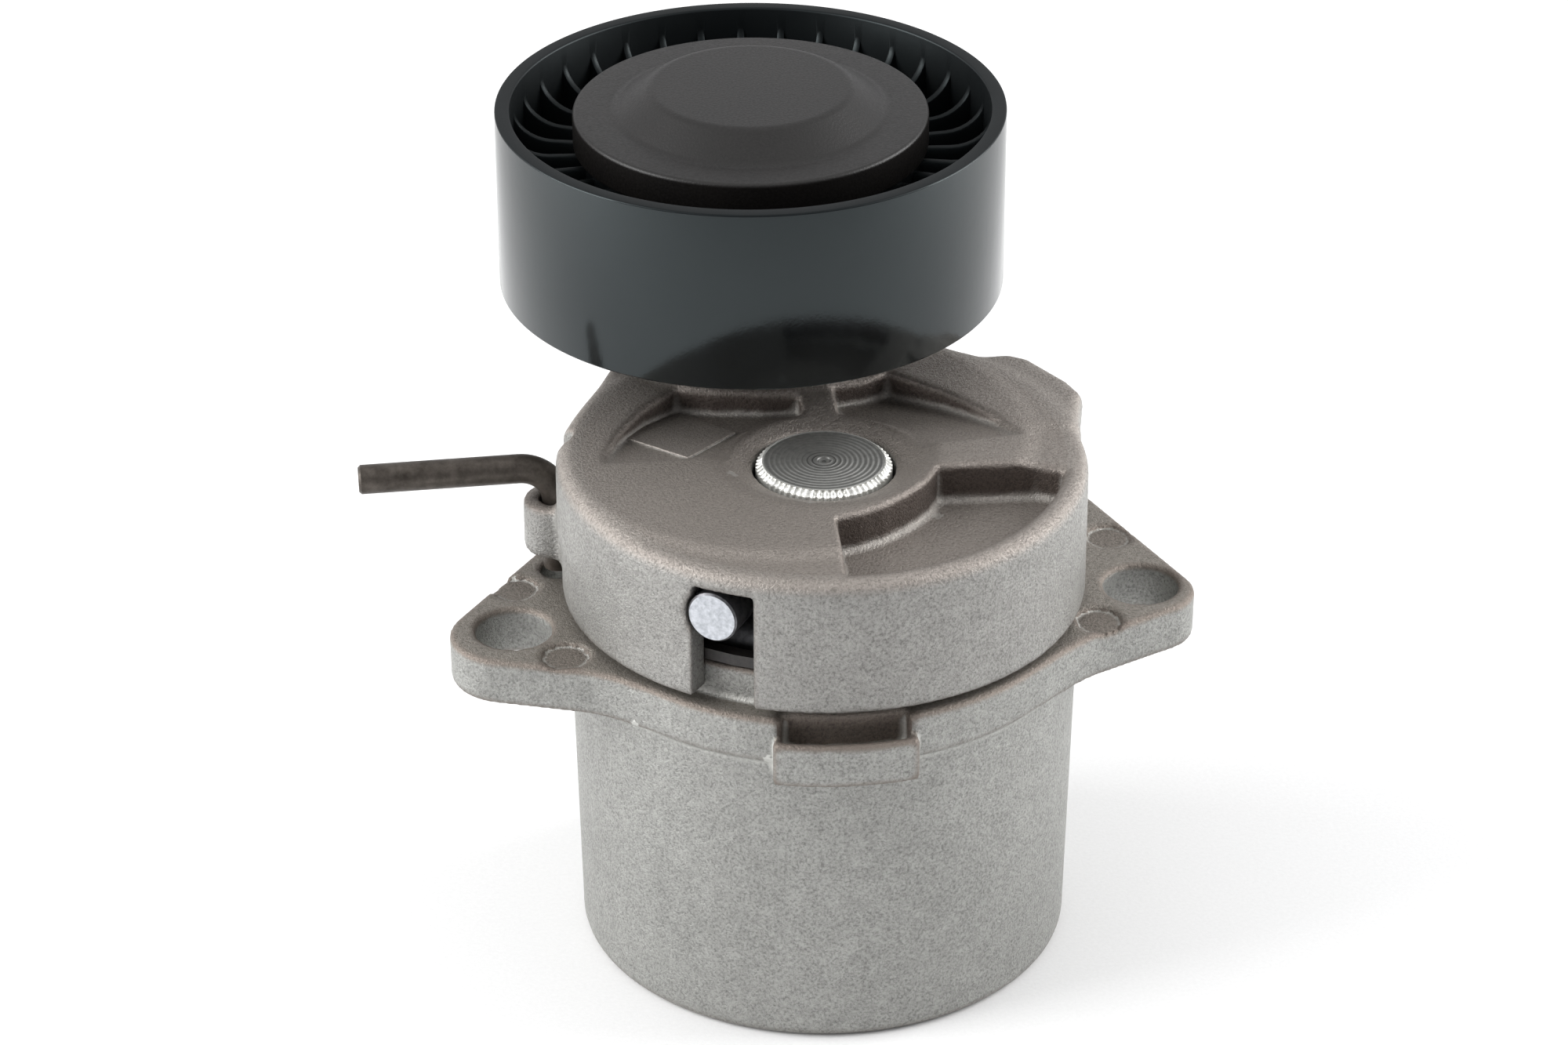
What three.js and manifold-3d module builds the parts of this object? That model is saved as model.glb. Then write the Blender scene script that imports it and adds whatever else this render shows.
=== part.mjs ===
// Belt tensioner idler: a spring-loaded arm with a smooth idler pulley.
// Millimetres, +Z up. The origin is on the arm's pivot axis at the bottom of the cup.
// +X runs along the line of the two mounting holes; the pulley sits towards +Y.
import * as THREE from "three";
import { mergeVertices } from "three/addons/utils/BufferGeometryUtils.js";
import Module from "manifold-3d";

const wasm = await Module();
wasm.setup();

// ---- Driving dimensions -------------------------------------------------
const GAP = 0.3;                       // clearance kept between neighbouring pieces
const ROUND = 48;                      // sides of a large circle
const SMALL = 32;                      // sides of a bearing or a shaft
const HOLE = 20;                       // sides of a hole

const CUP = { bottomR: 33.53, topR: 34.5, edge: 1.2, floor: 6, innerR: 30 };
const FLANGE = { under: 44.4, top: 51, bandR: 35.4 };
const EAR_HOLES = [[42.7, -5.4], [-42.7, -5.4]];
const EAR_HOLE_R = 5.1;
const EAR_OUTLINE = [
  { at: [-43.3, -6.15], r: 8 }, { at: [43.5, -6.6], r: 6.3 }, { at: [31.9, 25.3], r: 6 },
  { at: [-18.3, 21.1], r: 12 }, { at: [4.3, -31.5], r: 0.4 },
];
const UPSTAND = { outerR: 31.7, top: 55.8 };
const TUBE = { outerR: 14.5, boreR: 11.3, top: 49, footR: 19.5, footTop: 12 };
const BOTTOM_RECESS = { r: 16, depth: 8.5 };
const STOP_POCKET = { from: -108.6, to: -78.4, wall: 1.5, side: 0.8, outerR: 37.5, lip: 48.5, bottom: 42,
  floor: 45.6 };
const STOP_NOTCH = { from: 52, to: 84 };                     // in the upstand, for the arm's stop lug
const STOP_LUG = { innerR: 29.3, from: 76, to: 81, bottom: 52.6, top: 66 };
const SPRING_STOP = { from: -27, to: -17.5, height: 8 };      // the spring's lower end pushes on it

const DRUM = { r: 35.4, skirtR: 32, bottom: 52.2, top: 71.5, edge: 2 };
const WINDOW = { from: -127.3, to: -113.3, top: 68.8 };
const ROOF = { innerR: 18.8, from: -185, to: -113, steps: 6 };
const HUB = { r: 15.4, bottom: 50.6, boreR: 8.7, headBoreR: 9.6, headSeat: 64 };
const COUNTERSINK = { r: 9.6, bottom: 69.6, slope: 0.49, reach: 6 };
const PULLEY_AT = [-4.92, 36.45];
const POST = { r: 11.8, top: 87.4, shoulderR: 16.4, under: 60, boltHoleR: 5.3 };
const NECK_OUTLINE = [{ at: [0, 6], r: 29 }, { at: [-6, 2], r: 29.2 }, { at: PULLEY_AT, r: POST.shoulderR }];
const SIDE_LUG = { bottom: 65.6, outline: [
  [10, 40], [10, 20], [30, 3], [35.2, 3], [37.6, 13.2], [36.6, 16.4],
  [32.2, 24.6], [30, 25.8], [25.4, 26], [21.6, 28.2], [17, 33], [11.2, 40],
] };
const FRONT_POCKET = { depth: 5, outerR: 32.2, from: -93, to: -16, inner: [
  [27.5, -7.2], [14.4, -6.4], [12.6, -9.6], [10.6, -12], [8.3, -14], [5.6, -16], [2.3, -17.6], [-1, -18.5],
] };
const FLUSH_Y = 1;                     // the two back pockets are flush here and sink towards the pulley
const BACK_SLOPE = 0.165;
const BOSS_R = 13;
const RIGHT_POCKET = [
  [26.6, 1.2], [24.4, 6], [21.6, 10], [18.6, 14], [11.8, 20.6], [8, 18.7], [3.9, 17.6],
];
const LEFT_POCKET = [
  [-1.2, 15.9], [-6, 16.2], [-12.6, 17.7], [-17.7, 20], [-22.6, 15], [-26.7, 8.4], [-29, 2.8],
];
const PAD = { height: 0.4, outline: [[-26.3, 11.2], [-18.3, 0.6], [-10.7, 9.6], [-17.2, 19.4]] };

const SHAFT = { r: 8.4, headR: 9.2, bottom: 4.4, top: 70.46, neckR: 6, neckTop: 8.2 };
const WIRE_R = 3.5;
const BUSH = { flangeR: 13.9, lowerTop: 20, upperBottom: 36, upperTop: 50, thickness: 1 };
const SPRING = { r: 24.9, startZ: 10.1, endZ: 64.8, pitch: 8.2, legAngle: -122.5, bendR: 6.2, faceR: 35.2 };

const PULLEY = { r: 35, rimInnerR: 32.95, bottom: 80.82, top: 106.54, edge: 0.6 };
const PULLEY_HUB = { innerR: 20.3, outerR: 23.2, bottom: 86, top: 103.4, lipR: 18.8 };
const WEB = { bottom: 91, top: 95 };
const RIBS = { count: 36, thickness: 1.3, top: 102.2, bottom: 84.6 };

const BEARING = { boreR: 8.5, r: 20, width: 12, bottom: 87.7, pitchR: 14.25, ballR: 3.3, balls: 8 };
const RACE = { innerRingR: 12.2, outerRingR: 16.6, groove: 0.35, sealSeat: 0.9, sealLip: 1.6 };
const SEAL = { innerR: 12.5, outerR: 17.9, thickness: 0.6 };
const CAGE = { innerR: 13.2, outerR: 15.3, half: 4.3 };
const BOLT = { shankR: 5, flangeR: 10.6, flangeHeight: 1.8, headR: 9.24, headHeight: 7.4 };
const CAP = { r: 24.4, rim: 105.9, top: 109.3, plateauR: 13.8, slopeR: 18.8, skirt: 101.2, wall: 0.8 };
const PIN = { at: [-35.2, 9.9], r: 2, tip: 51.3, bendZ: 66.9, bendR: 5, end: [-61.8, 10.7, 66.4] };
const PIN_LUG = { r: 4.5, bottom: 54.6, top: 62.3, holeR: 2.35, root: [-31, 8.7] };

const radians = THREE.MathUtils.degToRad;

// ---- Solids: closed meshes joined and cut ---------------------------------
function solid(geometry) {
  const bare = geometry.clone();
  bare.deleteAttribute("normal");
  bare.deleteAttribute("uv");
  const merged = mergeVertices(bare, 1e-4);
  return new wasm.Manifold(new wasm.Mesh({
    numProp: 3,
    vertProperties: Float32Array.from(merged.attributes.position.array),
    triVerts: Uint32Array.from(merged.index.array),
  }));
}

function geometryOf(manifold) {
  const mesh = manifold.getMesh();
  const geometry = new THREE.BufferGeometry();
  geometry.setAttribute("position", new THREE.BufferAttribute(mesh.vertProperties, 3));
  geometry.setIndex(new THREE.BufferAttribute(mesh.triVerts, 1));
  return geometry;
}

const joined = (parts) => parts.reduce((whole, part) => whole.add(part));
const cutFrom = (whole, tools) => tools.reduce((rest, tool) => rest.subtract(tool), whole);

// A turned solid about +Z from [radius, height] points that run anticlockwise in the r-z plane.
function turned(points, sides = ROUND) {
  const profile = points.map(([r, z]) => new THREE.Vector2(r, z));
  const closed = points[0][0] > 0;
  if (closed) profile.push(profile[0].clone());
  const geometry = new THREE.LatheGeometry(profile, sides);
  geometry.rotateX(Math.PI / 2);
  return solid(geometry);
}

function ring(innerR, outerR, bottom, top, sides = ROUND) {
  return turned([[innerR, bottom], [outerR, bottom], [outerR, top], [innerR, top]], sides);
}

function disc(r, bottom, top, at = [0, 0], sides = HOLE) {
  const geometry = new THREE.CylinderGeometry(r, r, top - bottom, sides);
  geometry.rotateX(Math.PI / 2);
  geometry.translate(at[0], at[1], (top + bottom) / 2);
  return solid(geometry);
}

// An upright prism on an outline of [x, y] points.
function prism(outline, bottom, top) {
  const shape = new THREE.Shape(outline.map(([x, y]) => new THREE.Vector2(x, y)));
  const geometry = new THREE.ExtrudeGeometry(shape, { depth: top - bottom, bevelEnabled: false });
  geometry.translate(0, 0, bottom);
  return solid(geometry);
}

const polar = (r, degrees) => [r * Math.cos(radians(degrees)), r * Math.sin(radians(degrees))];

// Points along an arc about the origin.
function arc(r, from, to, steps = 6) {
  const points = [];
  for (let i = 0; i <= steps; i += 1) points.push(polar(r, from + ((to - from) * i) / steps));
  return points;
}

// A block between two radii and two angles.
function sector(innerR, outerR, from, to, bottom, top, steps = 6) {
  return prism([...arc(outerR, from, to, steps), ...arc(innerR, to, from, steps)], bottom, top);
}

// The outline round a set of circles given as {at, r}, as a belt would lie on them.
function beltOutline(circles, steps = 32) {
  const points = [];
  for (const { at, r } of circles) {
    for (let i = 0; i < steps; i += 1) {
      const [x, y] = polar(r, (360 * i) / steps);
      points.push([at[0] + x, at[1] + y]);
    }
  }
  points.sort((a, b) => a[0] - b[0] || a[1] - b[1]);
  const turn = (o, a, b) => (a[0] - o[0]) * (b[1] - o[1]) - (a[1] - o[1]) * (b[0] - o[0]);
  const half = (list) => {
    const chain = [];
    for (const p of list) {
      while (chain.length > 1 && turn(chain.at(-2), chain.at(-1), p) <= 1e-6) chain.pop();
      chain.push(p);
    }
    chain.pop();
    return chain;
  };
  return [...half(points), ...half(points.slice().reverse())];
}

// A round bar along a curve.
function bar(curve, r, steps, sides) {
  const section = new THREE.Shape();
  for (let i = 0; i < sides; i += 1) {
    const [x, y] = polar(r, (360 * i) / sides);
    if (i === 0) section.moveTo(x, y);
    else section.lineTo(x, y);
  }
  return solid(new THREE.ExtrudeGeometry(section, { steps, bevelEnabled: false, extrudePath: curve }));
}

// ---- Base -------------------------------------------------------------------
function baseHousing() {
  const body = turned([
    [BOTTOM_RECESS.r, 0], [CUP.bottomR - CUP.edge, 0], [CUP.bottomR, CUP.edge],
    [CUP.topR, FLANGE.under], [FLANGE.bandR, FLANGE.under], [FLANGE.bandR, FLANGE.top],
    [UPSTAND.outerR, FLANGE.top], [UPSTAND.outerR, UPSTAND.top], [CUP.innerR, UPSTAND.top],
    [CUP.innerR, CUP.floor], [TUBE.footR, CUP.floor], [TUBE.footR, TUBE.footTop],
    [TUBE.outerR, TUBE.footTop], [TUBE.outerR, TUBE.top], [TUBE.boreR, TUBE.top],
    [TUBE.boreR, BOTTOM_RECESS.depth], [BOTTOM_RECESS.r, BOTTOM_RECESS.depth],
  ]);
  const inside = disc(CUP.topR - 1, FLANGE.under - 1, FLANGE.top + 1, [0, 0], ROUND);
  const ears = prism(beltOutline(EAR_OUTLINE), FLANGE.under, FLANGE.top).subtract(inside);
  const pocketWall = sector(CUP.topR - 1, STOP_POCKET.outerR, STOP_POCKET.from, STOP_POCKET.to,
    STOP_POCKET.bottom, STOP_POCKET.lip);
  const sideAngle = THREE.MathUtils.radToDeg(STOP_POCKET.side / STOP_POCKET.outerR);
  const pocket = sector(CUP.topR - 1, STOP_POCKET.outerR - STOP_POCKET.wall,
    STOP_POCKET.from + sideAngle, STOP_POCKET.to - sideAngle, STOP_POCKET.floor, FLANGE.top + 1);
  const stopNotch = sector(CUP.innerR - 1, UPSTAND.outerR + 1, STOP_NOTCH.from, STOP_NOTCH.to,
    FLANGE.top, UPSTAND.top + 1);
  const springStop = sector(TUBE.footR - 1, CUP.innerR + 1, SPRING_STOP.from, SPRING_STOP.to,
    CUP.floor - 1, CUP.floor + SPRING_STOP.height);
  const holes = EAR_HOLES.map((at) => disc(EAR_HOLE_R, FLANGE.under - 1, FLANGE.top + 1, at));
  const pinHole = disc(PIN_LUG.holeR, FLANGE.under - 1, FLANGE.top + 1, PIN.at, 12);
  const whole = joined([body, ears, pocketWall, springStop]);
  return cutFrom(whole, [pocket, stopNotch, pinHole, ...holes]);
}

const bottomCap = () => turned([
  [0, 0], [BOTTOM_RECESS.r - GAP, 0], [BOTTOM_RECESS.r - GAP, 3], [BOTTOM_RECESS.r - 1.5, 3],
  [BOTTOM_RECESS.r - 1.5, 1.2], [0, 1.2],
]);

// A flanged plain bush in one end of the pivot tube.
function pivotBush(from, to, flangeFrom, flangeTo) {
  const inner = SHAFT.r + GAP;
  const sleeve = ring(inner, TUBE.boreR - GAP, from, to, SMALL);
  const flange = ring(inner, BUSH.flangeR, flangeFrom, flangeTo, SMALL);
  return sleeve.add(flange);
}

function lowerBush() {
  const flangeTop = BOTTOM_RECESS.depth - GAP;
  return pivotBush(flangeTop - BUSH.thickness, BUSH.lowerTop, flangeTop - BUSH.thickness, flangeTop);
}

const upperBush = () => pivotBush(BUSH.upperBottom, BUSH.upperTop, BUSH.upperTop - 0.8, BUSH.upperTop);

const frictionWasher = () => ring(SHAFT.r + GAP, HUB.r - 0.4, TUBE.top + 1.3, HUB.bottom + GAP, SMALL);

function dampingRing() {
  const band = ring(CUP.innerR - 0.1, UPSTAND.outerR, UPSTAND.top + GAP, UPSTAND.top + 1.9);
  return band.subtract(sector(CUP.innerR - 1, UPSTAND.outerR + 1, STOP_NOTCH.from, STOP_NOTCH.to,
    UPSTAND.top, UPSTAND.top + 3));
}

// ---- Torsion spring -------------------------------------------------------------
// A helix whose last stretch turns outward into a straight radial leg.
class SpringPath extends THREE.Curve {
  constructor() {
    super();
    const { r, bendR, legAngle, faceR, startZ, endZ, pitch } = SPRING;
    this.bendAngle = legAngle - THREE.MathUtils.radToDeg(Math.asin(bendR / (r + bendR)));
    this.turns = (endZ - startZ) / pitch;
    this.coil = 2 * Math.PI * r * this.turns;
    const lean = radians(90 - (legAngle - this.bendAngle));
    this.bend = bendR * lean;
    this.bendCentre = polar(r + bendR, this.bendAngle);
    this.legStart = Math.sqrt((r + bendR) ** 2 - bendR ** 2);
    this.leg = faceR - this.legStart;
    this.length = this.coil + this.bend + this.leg;
  }

  getPoint(t, target = new THREE.Vector3()) {
    const s = t * this.length;
    const { r, bendR, legAngle, startZ, endZ } = SPRING;
    if (s <= this.coil) {
      const back = (1 - s / this.coil) * this.turns;
      const [x, y] = polar(r, this.bendAngle - 360 * back);
      return target.set(x, y, endZ - (endZ - startZ) * (back / this.turns));
    }
    if (s <= this.coil + this.bend) {
      const swing = ((s - this.coil) / bendR) * (180 / Math.PI);
      const [x, y] = polar(bendR, this.bendAngle + 180 - swing);
      return target.set(this.bendCentre[0] + x, this.bendCentre[1] + y, endZ);
    }
    const [x, y] = polar(this.legStart + s - this.coil - this.bend, legAngle);
    return target.set(x, y, endZ);
  }
}

const torsionSpring = () => bar(new SpringPath(), WIRE_R, 108, 6);

// The room that the spring's leg needs in the arm.
class LegPath extends SpringPath {
  getPoint(t, target) {
    const start = (this.coil - 6) / this.length;
    return super.getPoint(start + (1 - start) * t, target);
  }
}

// ---- Arm ------------------------------------------------------------------------
// The underside follows the spring's last turn, so the roof drops in steps round the drum.
function springRoom() {
  const path = new SpringPath();
  const room = [sector(ROOF.innerR, DRUM.skirtR, ROOF.from, ROOF.to, HUB.bottom - 1, WINDOW.top, 8)];
  const step = (360 - (ROOF.to - ROOF.from)) / ROOF.steps;
  for (let i = 0; i < ROOF.steps; i += 1) {
    const near = ROOF.from - i * step;
    const back = (path.bendAngle - near) / 360;
    const roof = SPRING.endZ - SPRING.pitch * back + WIRE_R + GAP;
    room.push(sector(ROOF.innerR, DRUM.skirtR, near - step, near, HUB.bottom - 1, roof, 8));
  }
  return room;
}

// A cut that starts flush at FLUSH_Y and gets deeper towards the pulley.
function slopingCut(outline, raised) {
  const reach = 60;
  const geometry = new THREE.BoxGeometry(2 * reach, 2 * reach, reach);
  geometry.translate(0, 0, reach / 2 + raised);
  geometry.rotateX(-Math.atan(BACK_SLOPE));
  geometry.translate(0, FLUSH_Y, DRUM.top);
  return prism(outline, DRUM.top - 4, DRUM.top + 1).intersect(solid(geometry));
}

function topPockets() {
  const lift = DRUM.top + 1;
  const { depth, outerR, from, to, inner } = FRONT_POCKET;
  const front = [...arc(outerR, from, to, 12), ...inner];
  return [
    prism(front, DRUM.top - depth, lift),
    slopingCut([...RIGHT_POCKET, ...arc(BOSS_R, 72, 4)], 0),
    slopingCut([...LEFT_POCKET, ...arc(BOSS_R, 174, 95)], 0),
  ];
}

function castPad() {
  return slopingCut(PAD.outline, -PAD.height).subtract(slopingCut(PAD.outline, PAD.height));
}

function countersink() {
  const { r, bottom, slope, reach } = COUNTERSINK;
  const top = bottom + slope * reach;
  return turned([[0, bottom], [r, bottom], [r + reach, top], [0, top]]);
}

function tensionerArm() {
  const drum = turned([
    [0, DRUM.bottom], [DRUM.r, DRUM.bottom], [DRUM.r, DRUM.top - DRUM.edge],
    [DRUM.r - 0.6, DRUM.top - 0.6], [DRUM.r - DRUM.edge, DRUM.top], [0, DRUM.top],
  ]);
  const neck = prism(beltOutline(NECK_OUTLINE), POST.under, DRUM.top);
  const sideLug = prism(SIDE_LUG.outline, SIDE_LUG.bottom, DRUM.top);
  const post = disc(POST.r, DRUM.top - 2, POST.top, PULLEY_AT);
  const pinLug = prism(beltOutline([
    { at: PIN.at, r: PIN_LUG.r }, { at: PIN_LUG.root, r: PIN_LUG.r },
  ], 20), PIN_LUG.bottom, PIN_LUG.top);
  const hubEnd = disc(HUB.r, HUB.bottom + 0.6, DRUM.bottom + 1, [0, 0], ROUND);
  const shell = cutFrom(joined([drum, neck, sideLug, post, pinLug]), springRoom()).add(hubEnd);
  const hubCore = disc(HUB.r, HUB.bottom + 0.6, DRUM.top - 1, [0, 0], ROUND);
  const stopLug = sector(STOP_LUG.innerR, DRUM.skirtR + 1, STOP_LUG.from, STOP_LUG.to,
    STOP_LUG.bottom, STOP_LUG.top, 2);
  const cuts = [
    ...topPockets(),
    sector(HUB.r + 4, DRUM.r + 3, WINDOW.from, WINDOW.to, HUB.bottom - 1, WINDOW.top, 2),
    bar(new LegPath(), WIRE_R + GAP + 0.1, 16, 16),
    disc(HUB.boreR, HUB.bottom - 1, DRUM.top + 1),
    disc(HUB.headBoreR, HUB.headSeat, DRUM.top + 1),
    countersink(),
    disc(POST.boltHoleR, DRUM.top - 1, POST.top + 1, PULLEY_AT),
    disc(PIN_LUG.holeR, DRUM.bottom - 1, DRUM.top + 1, PIN.at, 12),
  ];
  return joined([cutFrom(joined([shell, hubCore, stopLug]), cuts), castPad()]);
}

const pivotShaft = () => turned([
  [0, SHAFT.bottom], [SHAFT.neckR, SHAFT.bottom], [SHAFT.neckR, SHAFT.neckTop],
  [SHAFT.r, SHAFT.neckTop], [SHAFT.r, HUB.headSeat + GAP], [SHAFT.headR, HUB.headSeat + GAP],
  [SHAFT.headR, SHAFT.top - 0.5], [8.3, SHAFT.top], [0, SHAFT.top],
], SMALL);

const retainingPlate = () => ring(SHAFT.neckR + GAP, 13.4, 4.8, 6.6, SMALL);

// ---- Pulley and its bearing: all turned about the pulley's own axis ----------------
const atPulley = (manifold) => manifold.translate([PULLEY_AT[0], PULLEY_AT[1], 0]);

function pulley() {
  const rim = turned([
    [PULLEY.rimInnerR, PULLEY.bottom], [PULLEY.r - PULLEY.edge, PULLEY.bottom],
    [PULLEY.r, PULLEY.bottom + PULLEY.edge], [PULLEY.r, PULLEY.top - PULLEY.edge],
    [PULLEY.r - PULLEY.edge, PULLEY.top], [PULLEY.rimInnerR, PULLEY.top],
  ], RIBS.count);
  const hub = turned([
    [PULLEY_HUB.lipR, PULLEY_HUB.bottom], [PULLEY_HUB.outerR, PULLEY_HUB.bottom],
    [PULLEY_HUB.outerR, PULLEY_HUB.top], [PULLEY_HUB.innerR, PULLEY_HUB.top],
    [PULLEY_HUB.innerR, BEARING.bottom - GAP], [PULLEY_HUB.lipR, BEARING.bottom - GAP],
  ], RIBS.count);
  const web = ring(PULLEY_HUB.outerR - 0.6, PULLEY.rimInnerR + 0.6, WEB.bottom, WEB.top, RIBS.count);
  const ribs = [];
  for (let i = 0; i < RIBS.count; i += 1) {
    const geometry = new THREE.BoxGeometry(PULLEY.rimInnerR - PULLEY_HUB.outerR + 1,
      RIBS.thickness, RIBS.top - RIBS.bottom);
    geometry.translate((PULLEY.rimInnerR + PULLEY_HUB.outerR) / 2, 0, (RIBS.top + RIBS.bottom) / 2);
    geometry.rotateZ((2 * Math.PI * (i + 0.5)) / RIBS.count);
    ribs.push(solid(geometry));
  }
  const capRoom = ring(PULLEY_HUB.outerR, CAP.r + 0.5, CAP.skirt - 0.5, RIBS.top + 1, RIBS.count);
  return atPulley(joined([rim, hub, web, ...ribs]).subtract(capRoom));
}

const GROOVE_STEPS = 4;
const BALL_Z = BEARING.bottom + BEARING.width / 2;

// A ring of the bearing with a round groove for the balls.
function race(innerR, outerR, grooveOn) {
  const grooveR = BEARING.ballR + RACE.groove;
  const half = BEARING.width / 2;
  const shoulder = grooveOn === "inside" ? innerR : outerR;
  const reach = Math.abs(shoulder - BEARING.pitchR);
  const spread = Math.acos(reach / grooveR);
  const side = grooveOn === "inside" ? 1 : -1;
  const groove = [];
  for (let i = 0; i <= GROOVE_STEPS; i += 1) {
    const angle = spread - (2 * spread * i) / GROOVE_STEPS;
    groove.push([BEARING.pitchR + side * grooveR * Math.cos(angle), BALL_Z + grooveR * Math.sin(angle)]);
  }
  const bottom = BALL_Z - half;
  const top = BALL_Z + half;
  const lipR = innerR + RACE.sealLip;
  if (grooveOn === "inside") {
    return atPulley(turned([
      [outerR, bottom], [outerR, top], [lipR, top], [lipR, top - RACE.sealSeat],
      [innerR, top - RACE.sealSeat], ...groove, [innerR, bottom + RACE.sealSeat],
      [lipR, bottom + RACE.sealSeat], [lipR, bottom],
    ], SMALL));
  }
  return atPulley(turned([
    [innerR, bottom], [outerR, bottom], ...groove.reverse(), [outerR, top], [innerR, top],
  ], SMALL));
}

const seal = (bottom) => atPulley(ring(SEAL.innerR, SEAL.outerR, bottom, bottom + SEAL.thickness, SMALL));

function ballAt(i) {
  const geometry = new THREE.IcosahedronGeometry(BEARING.ballR, 1);
  const [x, y] = polar(BEARING.pitchR, (360 * i) / BEARING.balls);
  geometry.translate(x, y, BALL_Z);
  return solid(geometry);
}

function ballCage() {
  const band = ring(CAGE.innerR, CAGE.outerR, BALL_Z - CAGE.half, BALL_Z + CAGE.half, SMALL);
  const pockets = [];
  for (let i = 0; i < BEARING.balls; i += 1) {
    const [x, y] = polar(BEARING.pitchR, (360 * i) / BEARING.balls);
    const geometry = new THREE.SphereGeometry(BEARING.ballR + GAP, 8, 6);
    geometry.rotateX(Math.PI / 2);
    geometry.translate(x, y, BALL_Z);
    pockets.push(solid(geometry));
  }
  return atPulley(cutFrom(band, pockets));
}

const bearingSleeve = () => atPulley(ring(5.6, BEARING.boreR - GAP, POST.top + GAP, 99.5, SMALL));

function pulleyBolt() {
  const seat = BEARING.bottom + BEARING.width + GAP;
  const shank = disc(BOLT.shankR, DRUM.top + 0.5, seat + 1);
  const flange = disc(BOLT.flangeR, seat, seat + BOLT.flangeHeight);
  const head = disc(BOLT.headR, seat + 1, seat + BOLT.headHeight, [0, 0], 6);
  return atPulley(joined([shank, flange, head]));
}

function dustCap() {
  const { r, rim, top, plateauR, slopeR, skirt, wall } = CAP;
  return atPulley(turned([
    [0, top - wall], [plateauR - 0.2, top - wall], [slopeR - 0.4, rim - wall],
    [r - wall - 0.3, rim - wall], [r - wall, rim - wall - 0.4], [r - wall, skirt], [r, skirt],
    [r, rim - 0.9], [r - 0.9, rim], [slopeR, rim], [plateauR, top], [0, top],
  ], ROUND));
}

// ---- Lock pin: a bent bar, one leg upright in the arm's lug, one leg as the handle ----
function lockPin() {
  const path = new THREE.CurvePath();
  const corner = new THREE.Vector3(PIN.at[0], PIN.at[1], PIN.bendZ);
  const tip = new THREE.Vector3(PIN.at[0], PIN.at[1], PIN.tip);
  const end = new THREE.Vector3(...PIN.end);
  const outward = end.clone().sub(corner).normalize();
  const bendStart = corner.clone().add(new THREE.Vector3(0, 0, -PIN.bendR));
  const bendEnd = corner.clone().addScaledVector(outward, PIN.bendR);
  path.add(new THREE.LineCurve3(tip, bendStart));
  path.add(new THREE.QuadraticBezierCurve3(bendStart, corner, bendEnd));
  path.add(new THREE.LineCurve3(bendEnd, end));
  return bar(path, PIN.r, 14, 10);
}

// ---- The scene -------------------------------------------------------------------------
const FINISH = {
  castAluminium: { color: 0x9a9893, roughness: 0.55, metalness: 0.85 },
  brightSteel: { color: 0xb9bbbd, roughness: 0.3, metalness: 1 },
  darkSteel: { color: 0x2b2624, roughness: 0.45, metalness: 0.7 },
  springSteel: { color: 0x4a4c50, roughness: 0.4, metalness: 0.9 },
  blackNylon: { color: 0x15171a, roughness: 0.3, metalness: 0 },
  blackPaint: { color: 0x232120, roughness: 0.55, metalness: 0.3 },
  bushPolymer: { color: 0x6b5a3c, roughness: 0.6, metalness: 0 },
  sealRubber: { color: 0x1c1c1c, roughness: 0.8, metalness: 0 },
};

const part = new THREE.Group();

function place(name, manifold, finish, parent = part) {
  const mesh = new THREE.Mesh(geometryOf(manifold), new THREE.MeshStandardMaterial(FINISH[finish]));
  mesh.name = name;
  parent.add(mesh);
}

const baseGroup = new THREE.Group();
place("base_housing", baseHousing(), "castAluminium", baseGroup);
place("bottom_cap", bottomCap(), "brightSteel", baseGroup);
place("pivot_bush_lower", lowerBush(), "bushPolymer", baseGroup);
place("pivot_bush_upper", upperBush(), "bushPolymer", baseGroup);
place("damping_ring", dampingRing(), "blackNylon", baseGroup);
place("torsion_spring", torsionSpring(), "springSteel", baseGroup);
part.add(baseGroup);

const armGroup = new THREE.Group();
place("tensioner_arm", tensionerArm(), "castAluminium", armGroup);
place("friction_washer", frictionWasher(), "bushPolymer", armGroup);
place("pivot_shaft", pivotShaft(), "brightSteel", armGroup);
place("retaining_plate", retainingPlate(), "brightSteel", armGroup);
place("bearing_inner_ring", race(BEARING.boreR, RACE.innerRingR, "outside"), "brightSteel", armGroup);
place("bearing_sleeve", bearingSleeve(), "brightSteel", armGroup);
place("pulley_bolt", pulleyBolt(), "darkSteel", armGroup);
place("lock_pin", lockPin(), "darkSteel", armGroup);
part.add(armGroup);

const pulleyGroup = new THREE.Group();
place("pulley", pulley(), "blackNylon", pulleyGroup);
place("bearing_outer_ring", race(RACE.outerRingR, BEARING.r, "inside"), "brightSteel", pulleyGroup);
place("bearing_seal_lower", seal(BEARING.bottom + 0.1), "sealRubber", pulleyGroup);
place("bearing_seal_upper", seal(BEARING.bottom + BEARING.width - 0.7), "sealRubber", pulleyGroup);
place("dust_cap", dustCap(), "blackPaint", pulleyGroup);
place("ball_cage", ballCage(), "brightSteel", pulleyGroup);
for (let i = 0; i < BEARING.balls; i += 1) {
  place(`ball_${i + 1}`, atPulley(ballAt(i)), "brightSteel", pulleyGroup);
}
part.add(pulleyGroup);

export default part;
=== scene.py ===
import math

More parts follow.
